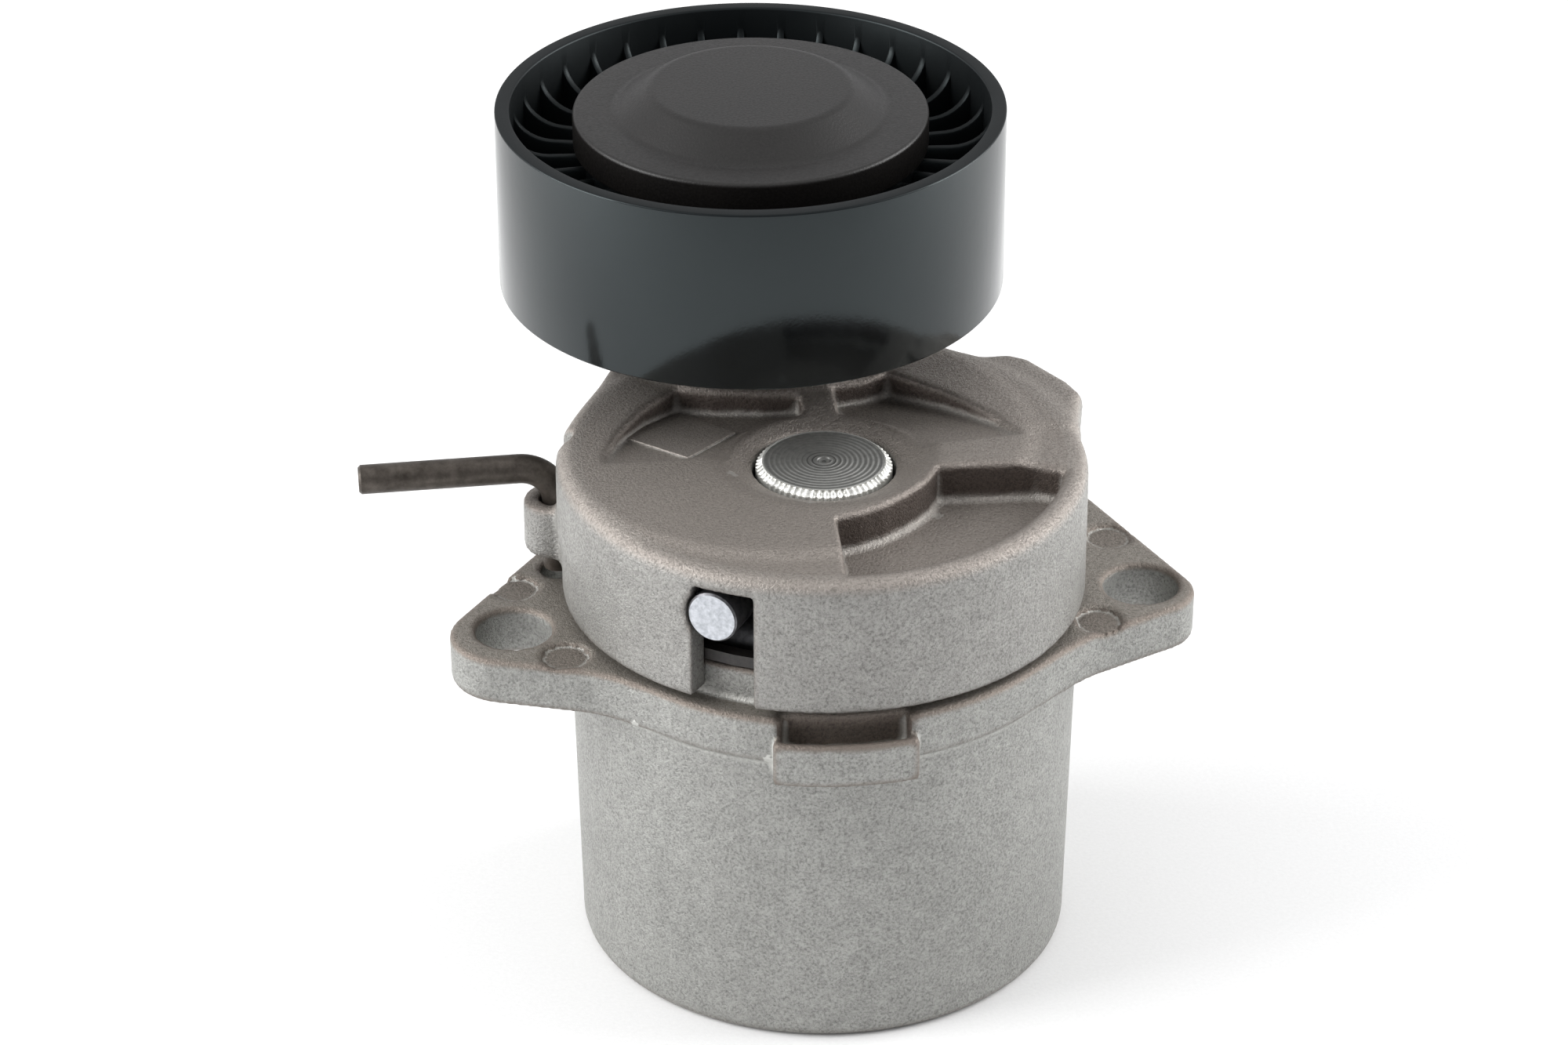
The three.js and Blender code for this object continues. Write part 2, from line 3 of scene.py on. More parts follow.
import bpy
import bmesh
import numpy as np
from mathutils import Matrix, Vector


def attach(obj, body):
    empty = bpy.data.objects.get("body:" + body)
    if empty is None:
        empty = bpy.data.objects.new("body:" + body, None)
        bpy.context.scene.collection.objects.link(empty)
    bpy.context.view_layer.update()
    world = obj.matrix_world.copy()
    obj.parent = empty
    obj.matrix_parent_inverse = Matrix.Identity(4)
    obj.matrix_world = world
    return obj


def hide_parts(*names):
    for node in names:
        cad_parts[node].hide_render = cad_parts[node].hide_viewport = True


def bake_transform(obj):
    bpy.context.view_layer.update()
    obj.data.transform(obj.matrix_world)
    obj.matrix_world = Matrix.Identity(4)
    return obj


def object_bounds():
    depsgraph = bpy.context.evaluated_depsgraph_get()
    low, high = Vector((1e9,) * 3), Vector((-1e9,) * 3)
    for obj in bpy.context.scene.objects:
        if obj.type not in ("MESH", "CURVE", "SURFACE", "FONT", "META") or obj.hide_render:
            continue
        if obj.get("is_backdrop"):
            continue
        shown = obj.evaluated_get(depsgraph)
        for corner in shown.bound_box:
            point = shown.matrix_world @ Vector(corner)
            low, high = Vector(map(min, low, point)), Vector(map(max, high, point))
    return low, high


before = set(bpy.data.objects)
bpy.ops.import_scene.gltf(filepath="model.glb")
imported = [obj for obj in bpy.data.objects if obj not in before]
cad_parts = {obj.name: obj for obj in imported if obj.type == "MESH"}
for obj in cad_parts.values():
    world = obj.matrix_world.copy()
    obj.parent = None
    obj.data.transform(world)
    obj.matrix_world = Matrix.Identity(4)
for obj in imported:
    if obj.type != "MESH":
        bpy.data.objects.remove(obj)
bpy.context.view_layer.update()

import openvdb
from mathutils import Matrix, Vector

MM = 0.001

# ---- Driving dimensions: the CAD model's, some of them changed a little --------------------------
CUP_BOTTOM_R, CUP_TOP_R, CUP_FLOOR, CUP_INNER_R = 33.53, 34.5, 6.0, 30.0
FLANGE_UNDER, FLANGE_TOP, BAND_R = 44.4, 51.0, 35.4
UPSTAND_R, UPSTAND_TOP = 31.7, 55.8
TUBE_R, TUBE_BORE, TUBE_TOP, TUBE_FOOT_R, TUBE_FOOT_TOP = 14.5, 11.3, 49.0, 19.5, 12.0
RECESS_R, RECESS_DEPTH = 16.0, 8.5
EAR_HOLES, EAR_HOLE_R = [(42.7, -5.4), (-42.7, -5.4)], 5.1
EAR_CORNERS = [((-43.3, -6.15), 8.0), ((43.5, -6.6), 6.27), ((31.9, 25.3), 6.0),
               ((-18.3, 21.1), 12.0), ((4.3, -31.5), 0.4)]
EJECTOR_R = 3.1
EJECTORS = [(35.2, -13.95), (-36.5, -13.3), (40.9, 8.2), (-41.5, 5.4)]
STOP_FROM, STOP_TO, STOP_R, STOP_LIP, STOP_BOTTOM, STOP_FLOOR = -108.6, -78.4, 37.46, 48.5, 42.0, 45.6
STOP_WALL, STOP_SIDE = 1.5, 1.2
NOTCH_FROM, NOTCH_TO = 52.0, 84.0
SPRING_STOP_FROM, SPRING_STOP_TO, SPRING_STOP_HEIGHT = -27.0, -17.5, 8.0

DRUM_R, SKIRT_R, DRUM_BOTTOM, DRUM_TOP = 35.4, 32.0, 52.2, 71.5
WINDOW_FROM, WINDOW_TO, WINDOW_TOP = -127.3, -113.3, 68.8
HUB_R, HUB_BOTTOM, HUB_BORE, HEAD_BORE, HEAD_SEAT, BOSS_R = 15.4, 51.2, 8.7, 9.65, 64.0, 13.0
STOP_LUG_R, STOP_LUG_FROM, STOP_LUG_TO, STOP_LUG_BOTTOM, STOP_LUG_TOP = 29.3, 76.0, 81.0, 52.6, 66.0
POCKET_DEPTH, POCKET_R, POCKET_FROM, POCKET_TO = 5.0, 32.2, -93.0, -16.0
POCKET_INNER = [(27.5, -7.2), (14.4, -6.4), (12.6, -9.6), (10.6, -12.0), (8.3, -14.0), (5.6, -16.0),
                (2.3, -17.6), (-1.0, -18.5)]
FLUSH_Y, BACK_SLOPE = 1.0, 0.165
RIGHT_POCKET = [(13.0, 0.4), (26.6, 1.2), (24.4, 6.0), (21.6, 10.0), (18.6, 14.0), (11.8, 20.6), (8.0, 18.7),
                (3.9, 17.6), (3.9, 12.0)]
LEFT_POCKET = [(-1.2, 12.5), (-1.2, 15.9), (-6.0, 16.2), (-12.6, 17.7), (-17.7, 20.0), (-22.6, 15.0),
               (-26.7, 8.4), (-29.0, 2.8), (-29.2, 0.8), (-13.0, 0.8)]
PAD = [(-26.3, 11.2), (-18.3, 0.6), (-10.7, 9.6), (-17.2, 19.4)]
PAD_SUNK, PAD_THICK, PAD_CHAMFER, PAD_CHAMFER_DROP = 0.4, 0.75, 0.22, 0.14
PULLEY_AT = (-4.92, 36.45)
SINK_R, SINK_BOTTOM, SINK_SLOPE, SINK_REACH = 9.65, 69.6, 0.49, 14.6
POST_R, POST_TOP, POST_BORE, SHOULDER_R, NECK_UNDER = 11.8, 87.4, 5.3, 16.4, 60.0
NECK = [((0, 6), 29), ((-6, 2), 29.2), (PULLEY_AT, SHOULDER_R)]
PLATEAU_R, PLATEAU_LIFT = 20.2, 1.2
ROOF_R, ROOF_FROM, ROOF_TO = 18.8, -185.0, -113.0

SHAFT_BOTTOM, SHAFT_NECK_R, SHAFT_NECK_TOP, SHAFT_R, SHAFT_HEAD_FROM = 4.4, 6.0, 8.2, 8.4, 64.3
SHAFT_TOP, SHAFT_HEAD_R, SHAFT_FACE_R = 70.46, 9.2, 8.3
WIRE_R, WIRE_GAP = 3.5, 0.35
SPRING_R, SPRING_START, SPRING_END, SPRING_PITCH = 24.9, 10.1, 64.8, 8.2
LEG_ANGLE, LEG_BEND, LEG_FACE = -122.5, 6.2, 35.2

PIN_AT, PIN_R, PIN_TIP = (-35.2, 9.9), 2.0, 51.3
PIN_BEND_Z, PIN_BEND, PIN_END = 66.9, 5.0, (-61.8, 10.7, 66.4)
PIN_LUG_ROOT = (-31, 8.7)
LUG_BOTTOM, LUG_ROUND, LUG_SEAM = 65.6, 2.4, 69.4
PIN_LUG_R, PIN_LUG_BOTTOM, PIN_LUG_TOP, PIN_HOLE_R = 4.5, 54.6, 62.3, 2.35

PULLEY_R, RIM_INNER, PULLEY_BOTTOM, PULLEY_TOP = 35.0, 32.95, 80.82, 106.54
PHUB_INNER, PHUB_OUTER, PHUB_BOTTOM, PHUB_TOP, PHUB_LIP = 20.3, 23.2, 86.0, 103.4, 18.8
WEB_BOTTOM, WEB_TOP, RIB_COUNT = 91.0, 95.0, 36
RIB_TOP, RIB_UNDER, RIB_RISE, RIB_SWEEP = 99.6, 86.6, 4.6, 5.4
BEARING_BOTTOM, BEARING_WIDTH = 87.7, 12.0
BEARING_BORE_R, INNER_RING_R, OUTER_RING_R, BEARING_R = 8.5, 12.2, 16.6, 20.0
SEAL_INNER_R, SEAL_OUTER_R, SEAL_THICK, SEAL_INSET = 12.5, 17.9, 0.6, 0.1
BALL_CIRCLE_R, GROOVE_R, SEAL_SEAT, SEAL_LIP = 14.25, 3.65, 0.9, 1.6
CAP_R, CAP_RIM, CAP_TOP, CAP_PLATEAU, CAP_SLOPE, CAP_SKIRT = 24.4, 105.9, 109.3, 13.8, 18.8, 101.2


# ---- Materials: every colour, grain and gloss is worked out by nodes -----------------------------
class Shader:
    """A material under construction, with a Principled surface and short calls for its nodes."""

    def __init__(self, name):
        self.material = bpy.data.materials.new(name)
        self.material.use_nodes = True
        self.nodes = self.material.node_tree.nodes
        self.links = self.material.node_tree.links
        self.surface = self.nodes["Principled BSDF"]
        self.place = self.nodes.new("ShaderNodeTexCoord").outputs["Object"]

    def link(self, source, target):
        if hasattr(source, "is_output"):
            self.links.new(source, target)
        else:
            target.default_value = source

    def noise(self, per_metre, detail=3.0, rough=0.6):
        node = self.nodes.new("ShaderNodeTexNoise")
        self.links.new(self.place, node.inputs["Vector"])
        node.inputs["Scale"].default_value = per_metre
        node.inputs["Detail"].default_value = detail
        node.inputs["Roughness"].default_value = rough
        return node.outputs["Fac"]

    def ramp(self, value, stops):
        """stops: (position, colour or grey) pairs."""
        node = self.nodes.new("ShaderNodeValToRGB")
        self.links.new(value, node.inputs["Fac"])
        ramp = node.color_ramp
        while len(ramp.elements) < len(stops):
            ramp.elements.new(0.5)
        for element, (position, colour) in zip(ramp.elements, stops):
            element.position = position
            rgb = colour if isinstance(colour, tuple) else (colour,) * 3
            element.color = (*rgb, 1)
        return node.outputs["Color"]

    def mix(self, factor, a, b, how="MIX"):
        node = self.nodes.new("ShaderNodeMix")
        node.data_type = "RGBA"
        node.blend_type = how
        self.link(factor, node.inputs[0])
        for value, socket in ((a, node.inputs[6]), (b, node.inputs[7])):
            self.link(value if hasattr(value, "is_output") else (*value, 1), socket)
        return node.outputs[2]

    def maths(self, operation, a, b=0.0):
        node = self.nodes.new("ShaderNodeMath")
        node.operation = operation
        self.link(a, node.inputs[0])
        self.link(b, node.inputs[1])
        return node.outputs[0]

    def radius(self, at=(0.0, 0.0)):
        """Distance from an upright axis, in metres."""
        split = self.nodes.new("ShaderNodeSeparateXYZ")
        self.links.new(self.place, split.inputs[0])
        dx = self.maths("SUBTRACT", split.outputs[0], at[0] * MM)
        dy = self.maths("SUBTRACT", split.outputs[1], at[1] * MM)
        return self.maths("SQRT", self.maths("ADD", self.maths("MULTIPLY", dx, dx),
                                             self.maths("MULTIPLY", dy, dy)))

    def axes(self):
        """x, y and z of the point, in metres."""
        split = self.nodes.new("ShaderNodeSeparateXYZ")
        self.links.new(self.place, split.inputs[0])
        return tuple(split.outputs)

    def up(self):
        """1 where the surface faces up, 0 where it is upright."""
        normal = self.nodes.new("ShaderNodeTexCoord").outputs["Normal"]
        split = self.nodes.new("ShaderNodeSeparateXYZ")
        self.links.new(normal, split.inputs[0])
        return split.outputs[2]

    def bump(self, layers):
        """layers: (height output, depth in metres) pairs, one on another."""
        last = None
        for height, depth in layers:
            node = self.nodes.new("ShaderNodeBump")
            node.inputs["Distance"].default_value = depth
            self.links.new(height, node.inputs["Height"])
            if last:
                self.links.new(last, node.inputs["Normal"])
            last = node.outputs["Normal"]
        self.links.new(last, self.surface.inputs["Normal"])

    def edge(self):
        """Over a half on convex edges, under it in corners."""
        return self.nodes.new("ShaderNodeNewGeometry").outputs["Pointiness"]

    def shade_by_facing(self, side, top):
        """Reflection strength set by facing, side on upright faces, top on faces that look up: the weaker one
        is a painted shade on those faces.
        """
        self.link(self.ramp(self.up(), [(0.25, side), (0.7, top)]), self.surface.inputs["Specular IOR Level"])

    def finish(self, colour, rough, metallic=0.0, **constants):
        self.link(colour, self.surface.inputs["Base Color"])
        self.link(rough, self.surface.inputs["Roughness"])
        self.surface.inputs["Metallic"].default_value = metallic
        for name, value in constants.items():
            self.surface.inputs[name.replace("_", " ")].default_value = value
        return self.material


def cast_aluminium(name, dark, light, tops, film_and_shade_tone, film_and_shade_zone, marks=(), wear=0.85):
    """Sand-grained die casting: mottled grey; faces that look up take a warmer tone, darker on the base,
    partly a residue layer and partly painted shade; a darker tone inside the given zone, partly residue and
    partly painted shade of the pockets; dark ejector marks; convex edges painted lighter, partly rubbed metal
    and partly painted highlight, and corners painted darker as painted shade. The zone gives the least and
    greatest radius, height and x, then the greatest y."""
    s = Shader(name)
    mottle = s.noise(420, 6, 0.75)
    grain = s.noise(2500, 3, 0.8)
    flow = s.noise(45, 3, 0.5)
    base = s.ramp(mottle, [(0.3, dark), (0.7, light)])
    base = s.mix(s.ramp(flow, [(0.35, 0.0), (0.7, 0.3)]), base, tuple(0.8 * c for c in dark))
    r, (x, y, z) = s.radius(), s.axes()
    inner, outer, low, high, left, right, far = (v * MM for v in film_and_shade_zone)
    inside = s.maths("GREATER_THAN", r, inner)
    for rule, value, limit in (("LESS_THAN", r, outer), ("GREATER_THAN", z, low), ("LESS_THAN", z, high),
                               ("GREATER_THAN", x, left), ("LESS_THAN", x, right), ("LESS_THAN", y, far)):
        inside = s.maths("MULTIPLY", inside, s.maths(rule, value, limit))
    # Inside the zone the colour is darkened: partly residue, partly painted shade in the pockets.
    base = s.mix(inside, base, film_and_shade_tone)
    # Faces that look up take the upward tone: partly a warmer residue layer, partly painted shade.
    base = s.mix(s.ramp(s.up(), [(0.12, 0.0), (0.62, 0.9)]), base, tops)
    for at in marks:
        off = s.maths("ABSOLUTE", s.maths("SUBTRACT", s.radius(at), EJECTOR_R * MM))
        ring = s.ramp(s.maths("MULTIPLY", off, 1000.0), [(0.12, 0.75), (0.34, 0.0)])
        disc = s.maths("MULTIPLY", s.maths("LESS_THAN", s.radius(at), EJECTOR_R * MM), 0.45)
        mark = s.maths("MULTIPLY", s.maths("MAXIMUM", ring, disc), s.maths("GREATER_THAN", s.up(), 0.6))
        base = s.mix(mark, base, film_and_shade_tone)
    base = s.mix(0.55, base, s.ramp(grain, [(0.34, 0.25), (0.5, 0.88), (0.64, 1.15)]), "MULTIPLY")
    # Convex edges painted lighter (partly rubbed metal, partly painted highlight) and corners painted darker
    # (painted shade); wear sets how much.
    edge = s.edge()
    base = s.mix(s.ramp(edge, [(0.508, 0.0), (0.545, wear)]), base, tuple(1.5 * c for c in light))
    base = s.mix(s.ramp(edge, [(0.45, wear), (0.49, 0.0)]), base, film_and_shade_tone)
    s.bump([(mottle, 0.00007), (grain, 0.0002)])
    rough = s.ramp(grain, [(0.34, 0.6), (0.66, 0.36)])
    return s.finish(base, rough, 0.75)


def bright_steel(name, at=(0.0, 0.0), dark=0.42, light=0.66, rough=0.46):
    """Turned steel with lathe rings about its axis."""
    s = Shader(name)
    r = s.radius(at)
    rings = s.maths("SINE", s.maths("MULTIPLY", r, 9000))
    blur = s.noise(900, 3, 0.6)
    colour = s.ramp(blur, [(0.3, (dark, dark, 0.96 * dark)), (0.7, (light, light, 0.96 * light))])
    centre = s.ramp(s.maths("MULTIPLY", r, 200), [(0.4, 0.75), (0.65, 0.12)])
    ringed = s.maths("MULTIPLY", s.ramp(rings, [(0.2, 0.0), (0.8, 1.0)]), centre)
    colour = s.mix(ringed, colour, (0.1, 0.1, 0.096))
    s.bump([(rings, 0.00003), (blur, 0.00002)])
    return s.finish(colour, s.ramp(blur, [(0.3, rough + 0.1), (0.7, rough)]), 0.95)


def dark_steel():
    """Oil-blackened bar with a brown cast and rubbed places."""
    s = Shader("oiled_dark_steel")
    wear = s.noise(500, 4, 0.7)
    fine = s.noise(2400, 2, 0.5)
    colour = s.ramp(wear, [(0.3, (0.045, 0.037, 0.030)), (0.75, (0.12, 0.104, 0.09))])
    s.bump([(fine, 0.00002)])
    return s.finish(colour, s.ramp(fine, [(0.3, 0.5), (0.7, 0.36)]), 0.6)


def spring_wire():
    """Dark drawn wire."""
    s = Shader("spring_wire")
    drawn = s.noise(800, 4, 0.6)
    colour = s.ramp(drawn, [(0.3, (0.07, 0.07, 0.075)), (0.75, (0.2, 0.2, 0.21))])
    s.bump([(drawn, 0.00002)])
    return s.finish(colour, s.ramp(drawn, [(0.3, 0.5), (0.7, 0.3)]), 0.85)


def sheared_steel():
    """The spring's cut end: pale, faintly streaked."""
    s = Shader("sheared_steel")
    fine = s.noise(1500, 3, 0.6)
    colour = s.ramp(fine, [(0.3, (0.36, 0.38, 0.41)), (0.7, (0.6, 0.62, 0.66))])
    s.bump([(fine, 0.00002)])
    return s.finish(colour, s.ramp(fine, [(0.3, 0.55), (0.7, 0.4)]), 0.3)


def black_nylon():
    """Moulded black pulley: a polished rim, faintly clouded, and a duller ribbed inside."""
    s = Shader("black_nylon")
    r = s.radius(PULLEY_AT)
    cloud = s.noise(120, 4, 0.6)
    fine = s.noise(3000, 2, 0.5)
    colour = s.ramp(cloud, [(0.35, (0.0022, 0.0026, 0.0030)), (0.7, (0.0038, 0.0046, 0.0052))])
    outer = s.ramp(s.maths("MULTIPLY", r, 20.0), [(0.68, 0.42), (0.697, 0.11)])
    rough = s.mix(s.ramp(cloud, [(0.4, 0.0), (0.8, 0.4)]), outer, (0.24, 0.24, 0.24))
    rough = s.mix(s.ramp(s.up(), [(0.3, 0.0), (0.6, 1.0)]), rough, (0.5, 0.5, 0.5))
    # Tops reflect less than the sides: painted shade on the rim's top face and the ribs' tops.
    s.shade_by_facing(0.5, 0.22)
    s.bump([(fine, 0.000004), (cloud, 0.00003)])
    s.surface.inputs["Specular Tint"].default_value = (0.84, 0.97, 1.0, 1)
    return s.finish(colour, rough, 0.0, IOR=1.52)


def black_coat():
    """Satin e-coat on the pressed cap, with a fine orange-peel grain."""
    s = Shader("satin_black_coat")
    fine = s.noise(2800, 3, 0.6)
    cloud = s.noise(90, 3, 0.5)
    colour = s.ramp(fine, [(0.3, (0.004, 0.0036, 0.0034)), (0.7, (0.012, 0.011, 0.0105))])
    colour = s.mix(s.ramp(cloud, [(0.3, 0.0), (0.8, 0.4)]), colour, (0.014, 0.012, 0.011))
    # Sides reflect less than the top: painted shade on the cap's rolled edge and side.
    s.shade_by_facing(0.16, 0.5)
    s.bump([(fine, 0.00004)])
    return s.finish(colour, s.ramp(fine, [(0.3, 0.46), (0.7, 0.34)]), 0.0, IOR=1.46)


def polymer(name, dark, light, rough):
    """Plastic, rubber or paper with a fine grain."""
    s = Shader(name)
    fine = s.noise(1800, 3, 0.6)
    s.bump([(fine, 0.00002)])
    colour = s.ramp(fine, [(0.3, dark), (0.7, light)])
    return s.finish(colour, s.ramp(fine, [(0.3, rough), (0.7, rough + 0.1)]))


# Dark, light, upward and darker tones of a casting, the upward and darker ones partly residue and partly
# painted shade, then zones of the darker tone as cast_aluminium takes them.
BASE_TONES = (0.32, 0.32, 0.304), (0.43, 0.43, 0.41), (0.30, 0.272, 0.238), (0.2, 0.168, 0.145)
ARM_TONES = (0.3, 0.294, 0.28), (0.4, 0.395, 0.376), (0.36, 0.325, 0.295), (0.13, 0.107, 0.094)
STOP_POCKET_FILM_AND_SHADE = (32.5, 36.2, 45.0, 50.7, -11.0, 6.6, -30.0)
TOP_POCKET_FILM_AND_SHADE = (10.0, 32.6, 66.0, 90.0, -40.0, 40.0, 60.0)
NO_FILM_AND_SHADE_ZONE = (0.0,) * 7

CAST_BASE = cast_aluminium("cast_base", *BASE_TONES, STOP_POCKET_FILM_AND_SHADE, EJECTORS)
CAST_ARM = cast_aluminium("cast_arm", *ARM_TONES, TOP_POCKET_FILM_AND_SHADE, wear=0.4)
CAST_PAD = cast_aluminium("cast_pad", *ARM_TONES, NO_FILM_AND_SHADE_ZONE, wear=0.0)
STEEL = bright_steel("turned_steel", dark=0.3, light=0.5)
KNURLED = bright_steel("knurled_steel", dark=0.7, light=0.95, rough=0.5)
BEARING_STEEL = bright_steel("bearing_steel", PULLEY_AT)
DARK = dark_steel()
WIRE = spring_wire()
SHEARED = sheared_steel()
NYLON = black_nylon()
COAT = black_coat()
BUSH = polymer("bush_polymer", (0.10, 0.075, 0.045), (0.2, 0.16, 0.1), 0.5)
RUBBER = polymer("seal_rubber", (0.01, 0.01, 0.01), (0.03, 0.03, 0.03), 0.65)
LINER = polymer("liner_nylon", (0.012, 0.011, 0.010), (0.035, 0.03, 0.028), 0.4)


# ---- Meshes ---------------------------------------------------------------------------------
def piece(name, vertices, faces, material, body, nodes=(), smooth_deg=None):
    """Makes a mesh object from millimetre points, on a body, standing for CAD nodes."""
    mesh = bpy.data.meshes.new(name)
    if isinstance(faces, np.ndarray):
        count, corners = faces.shape
        mesh.vertices.add(len(vertices))
        mesh.vertices.foreach_set("co", (np.asarray(vertices, np.float32) * MM).ravel())
        mesh.loops.add(count * corners)
        mesh.loops.foreach_set("vertex_index", faces.astype(np.int32).ravel())
        mesh.polygons.add(count)
        mesh.polygons.foreach_set("loop_start", np.arange(0, count * corners, corners, dtype=np.int32))
        mesh.update(calc_edges=True)
    else:
        mesh.from_pydata([tuple(c * MM for c in v) for v in vertices], [], faces)
    mesh.validate()
    mesh.shade_smooth()
    if smooth_deg is not None:
        mesh.set_sharp_from_angle(angle=math.radians(smooth_deg))
    mesh.materials.append(material)
    made = bpy.data.objects.new(name, mesh)
    bpy.context.scene.collection.objects.link(made)
    if body:
        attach(made, body)
    if nodes:
        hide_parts(*nodes)
    return made


def rounded_line(points, steps=5):
    """A polyline of (r, z) or (r, z, radius) points whose corners with a radius become arcs."""
    line = []
    for i, point in enumerate(points):
        here = Vector(point[:2])
        if len(point) < 3 or i in (0, len(points) - 1):
            line.append(tuple(here))
            continue
        into = (Vector(points[i - 1][:2]) - here).normalized()
        out = (Vector(points[i + 1][:2]) - here).normalized()
        half = into.angle(out) / 2
        reach = point[2] / math.tan(half)
        middle = here + (into + out).normalized() * (point[2] / math.sin(half))
        start, end = here + into * reach, here + out * reach
        a = math.atan2(*(start - middle).yx)
        sweep = (math.atan2(*(end - middle).yx) - a + math.pi) % (2 * math.pi) - math.pi
        for k in range(steps + 1):
            angle = a + sweep * k / steps
            line.append((middle.x + point[2] * math.cos(angle), middle.y + point[2] * math.sin(angle)))
    return line


def turned(profile, at=(0.0, 0.0), sides=160, waviness=None):
    """Vertices and faces of a solid turned about an upright axis. The profile runs from the axis to the
    axis, or closes on itself; waviness(r, z, angle) may move a point's radius."""
    on_axis = profile[0][0] < 1e-6
    inner = profile[1:-1] if on_axis else profile
    vertices, faces = [], []
    for k in range(sides):
        angle = 2 * math.pi * k / sides
        for r, z in inner:
            reach = r + (waviness(r, z, angle) if waviness else 0.0)
            vertices.append((at[0] + reach * math.cos(angle), at[1] + reach * math.sin(angle), z))
    n = len(inner)
    pairs = range(n - 1) if on_axis else range(n)
    for k in range(sides):
        here, there = k * n, (k + 1) % sides * n
        for i in pairs:
            j = (i + 1) % n
            faces.append((here + i, there + i, there + j, here + j))
    if on_axis:
        for end, ring, flip in ((profile[0], 0, True), (profile[-1], n - 1, False)):
            vertices.append((at[0], at[1], end[1]))
            tip = len(vertices) - 1
            for k in range(sides):
                a, b = k * n + ring, (k + 1) % sides * n + ring
                faces.append((tip, b, a) if flip else (tip, a, b))
    return vertices, faces


def swept(points, radius, sides=32, chamfer=0.0):
    """A round bar along points, with flat ends and an optional chamfer."""
    line = [Vector(p) for p in points]
    radii = [radius] * len(line)
    if chamfer:
        for end, nxt in ((0, 1), (-1, -2)):
            step = (line[nxt] - line[end]).normalized() * chamfer
            extra = line[end] + step
            line.insert(1 if end == 0 else len(line) - 1, extra)
            radii.insert(1, radius)
        radii[0] = radii[-1] = radius - chamfer
    rings = []
    side = None
    vertices, faces = [], []
    for i, here in enumerate(line):
        ahead = (line[min(i + 1, len(line) - 1)] - line[max(i - 1, 0)]).normalized()
        if side is None:
            side = ahead.orthogonal().normalized()
        side = (side - ahead * side.dot(ahead)).normalized()
        across = ahead.cross(side)
        rings.append(len(vertices))
        for k in range(sides):
            angle = 2 * math.pi * k / sides
            spot = here + (side * math.cos(angle) + across * math.sin(angle)) * radii[i]
            vertices.append(tuple(spot))
    for a, b in zip(rings, rings[1:]):
        for k in range(sides):
            j = (k + 1) % sides
            faces.append((a + k, a + j, b + j, b + k))
    faces.append(tuple(range(sides - 1, -1, -1)))
    faces.append(tuple(rings[-1] + k for k in range(sides)))
    return vertices, faces


# ---- Castings as distance fields: negative inside, every edge with its own radius -----------------
def both(a, b, edge=0.0):
    """What is in both, with the edge between them rounded."""
    if edge <= 0:
        return np.maximum(a, b)
    p, q = a + edge, b + edge
    return np.minimum(np.maximum(p, q), 0) + np.hypot(np.maximum(p, 0), np.maximum(q, 0)) - edge


def either(a, b, fillet=0.0):
    return -both(-a, -b, fillet)


def without(a, b, edge=0.0):
    return both(a, -b, edge)


def belt_outline(circles, steps=40):
    """The outline of a belt round circles given as (centre, radius)."""
    points = sorted((cx + r * math.cos(2 * math.pi * k / steps), cy + r * math.sin(2 * math.pi * k / steps))
                    for (cx, cy), r in circles for k in range(steps))

    def half(listed):
        chain = []
        for p in listed:
            while len(chain) > 1 and ((chain[-1][0] - chain[-2][0]) * (p[1] - chain[-2][1])
                                      - (chain[-1][1] - chain[-2][1]) * (p[0] - chain[-2][0])) <= 1e-9:
                chain.pop()
            chain.append(p)
        return chain[:-1]

    return half(points) + half(points[::-1])


class Block:
    """A box of evenly spaced sample points for one casting."""

    def __init__(self, low, high, step):
        self.low, self.step = low, step
        axes = [np.arange(a, b + step, step, dtype=np.float32) for a, b in zip(low, high)]
        self.x, self.y, self.z = axes[0][:, None, None], axes[1][None, :, None], axes[2][None, None, :]
        self.r = np.hypot(self.x, self.y)
        self.angle = np.degrees(np.arctan2(self.y, self.x))

    def circle(self, radius, at=(0.0, 0.0)):
        return np.hypot(self.x - at[0], self.y - at[1]) - radius

    def slab(self, bottom, top):
        return np.maximum(bottom - self.z, self.z - top)

    def polygon(self, points):
        """Distance to any simple outline, given anticlockwise."""
        best = None
        inside = np.zeros(np.broadcast(self.x, self.y).shape, bool)
        for (ax, ay), (bx, by) in zip(points, points[1:] + points[:1]):
            ex, ey = bx - ax, by - ay
            t = np.clip(((self.x - ax) * ex + (self.y - ay) * ey) / (ex * ex + ey * ey), 0, 1)
            far = np.hypot(self.x - ax - t * ex, self.y - ay - t * ey)
            best = far if best is None else np.minimum(best, far)
            crosses = (ay > self.y) != (by > self.y)
            at = (self.y - ay) * ex / (ey if abs(ey) > 1e-9 else 1e-9) + ax
            inside ^= crosses & (self.x < at)
        return np.where(inside, -best, best)

    def wedge(self, start, end):
        """The sector between two angles, in degrees, less than half a turn."""
        a, b = math.radians(start), math.radians(end)
        after = self.y * math.cos(a) - self.x * math.sin(a)
        before = self.x * math.sin(b) - self.y * math.cos(b)
        return -np.minimum(after, before)

    def mesh(self, field):
        """The surface where the field is zero, as points in millimetres and four-sided faces."""
        shape = np.broadcast(self.x, self.y, self.z).shape
        grid = openvdb.FloatGrid(self.step * 4)
        samples = np.clip(np.broadcast_to(field, shape), -4 * self.step, 4 * self.step)
        grid.copyFromArray(np.array(samples, dtype=np.float32))
        points, quads = grid.convertToQuads(0.0)
        return np.asarray(points) * self.step + np.array(self.low), np.asarray(quads)[:, ::-1]


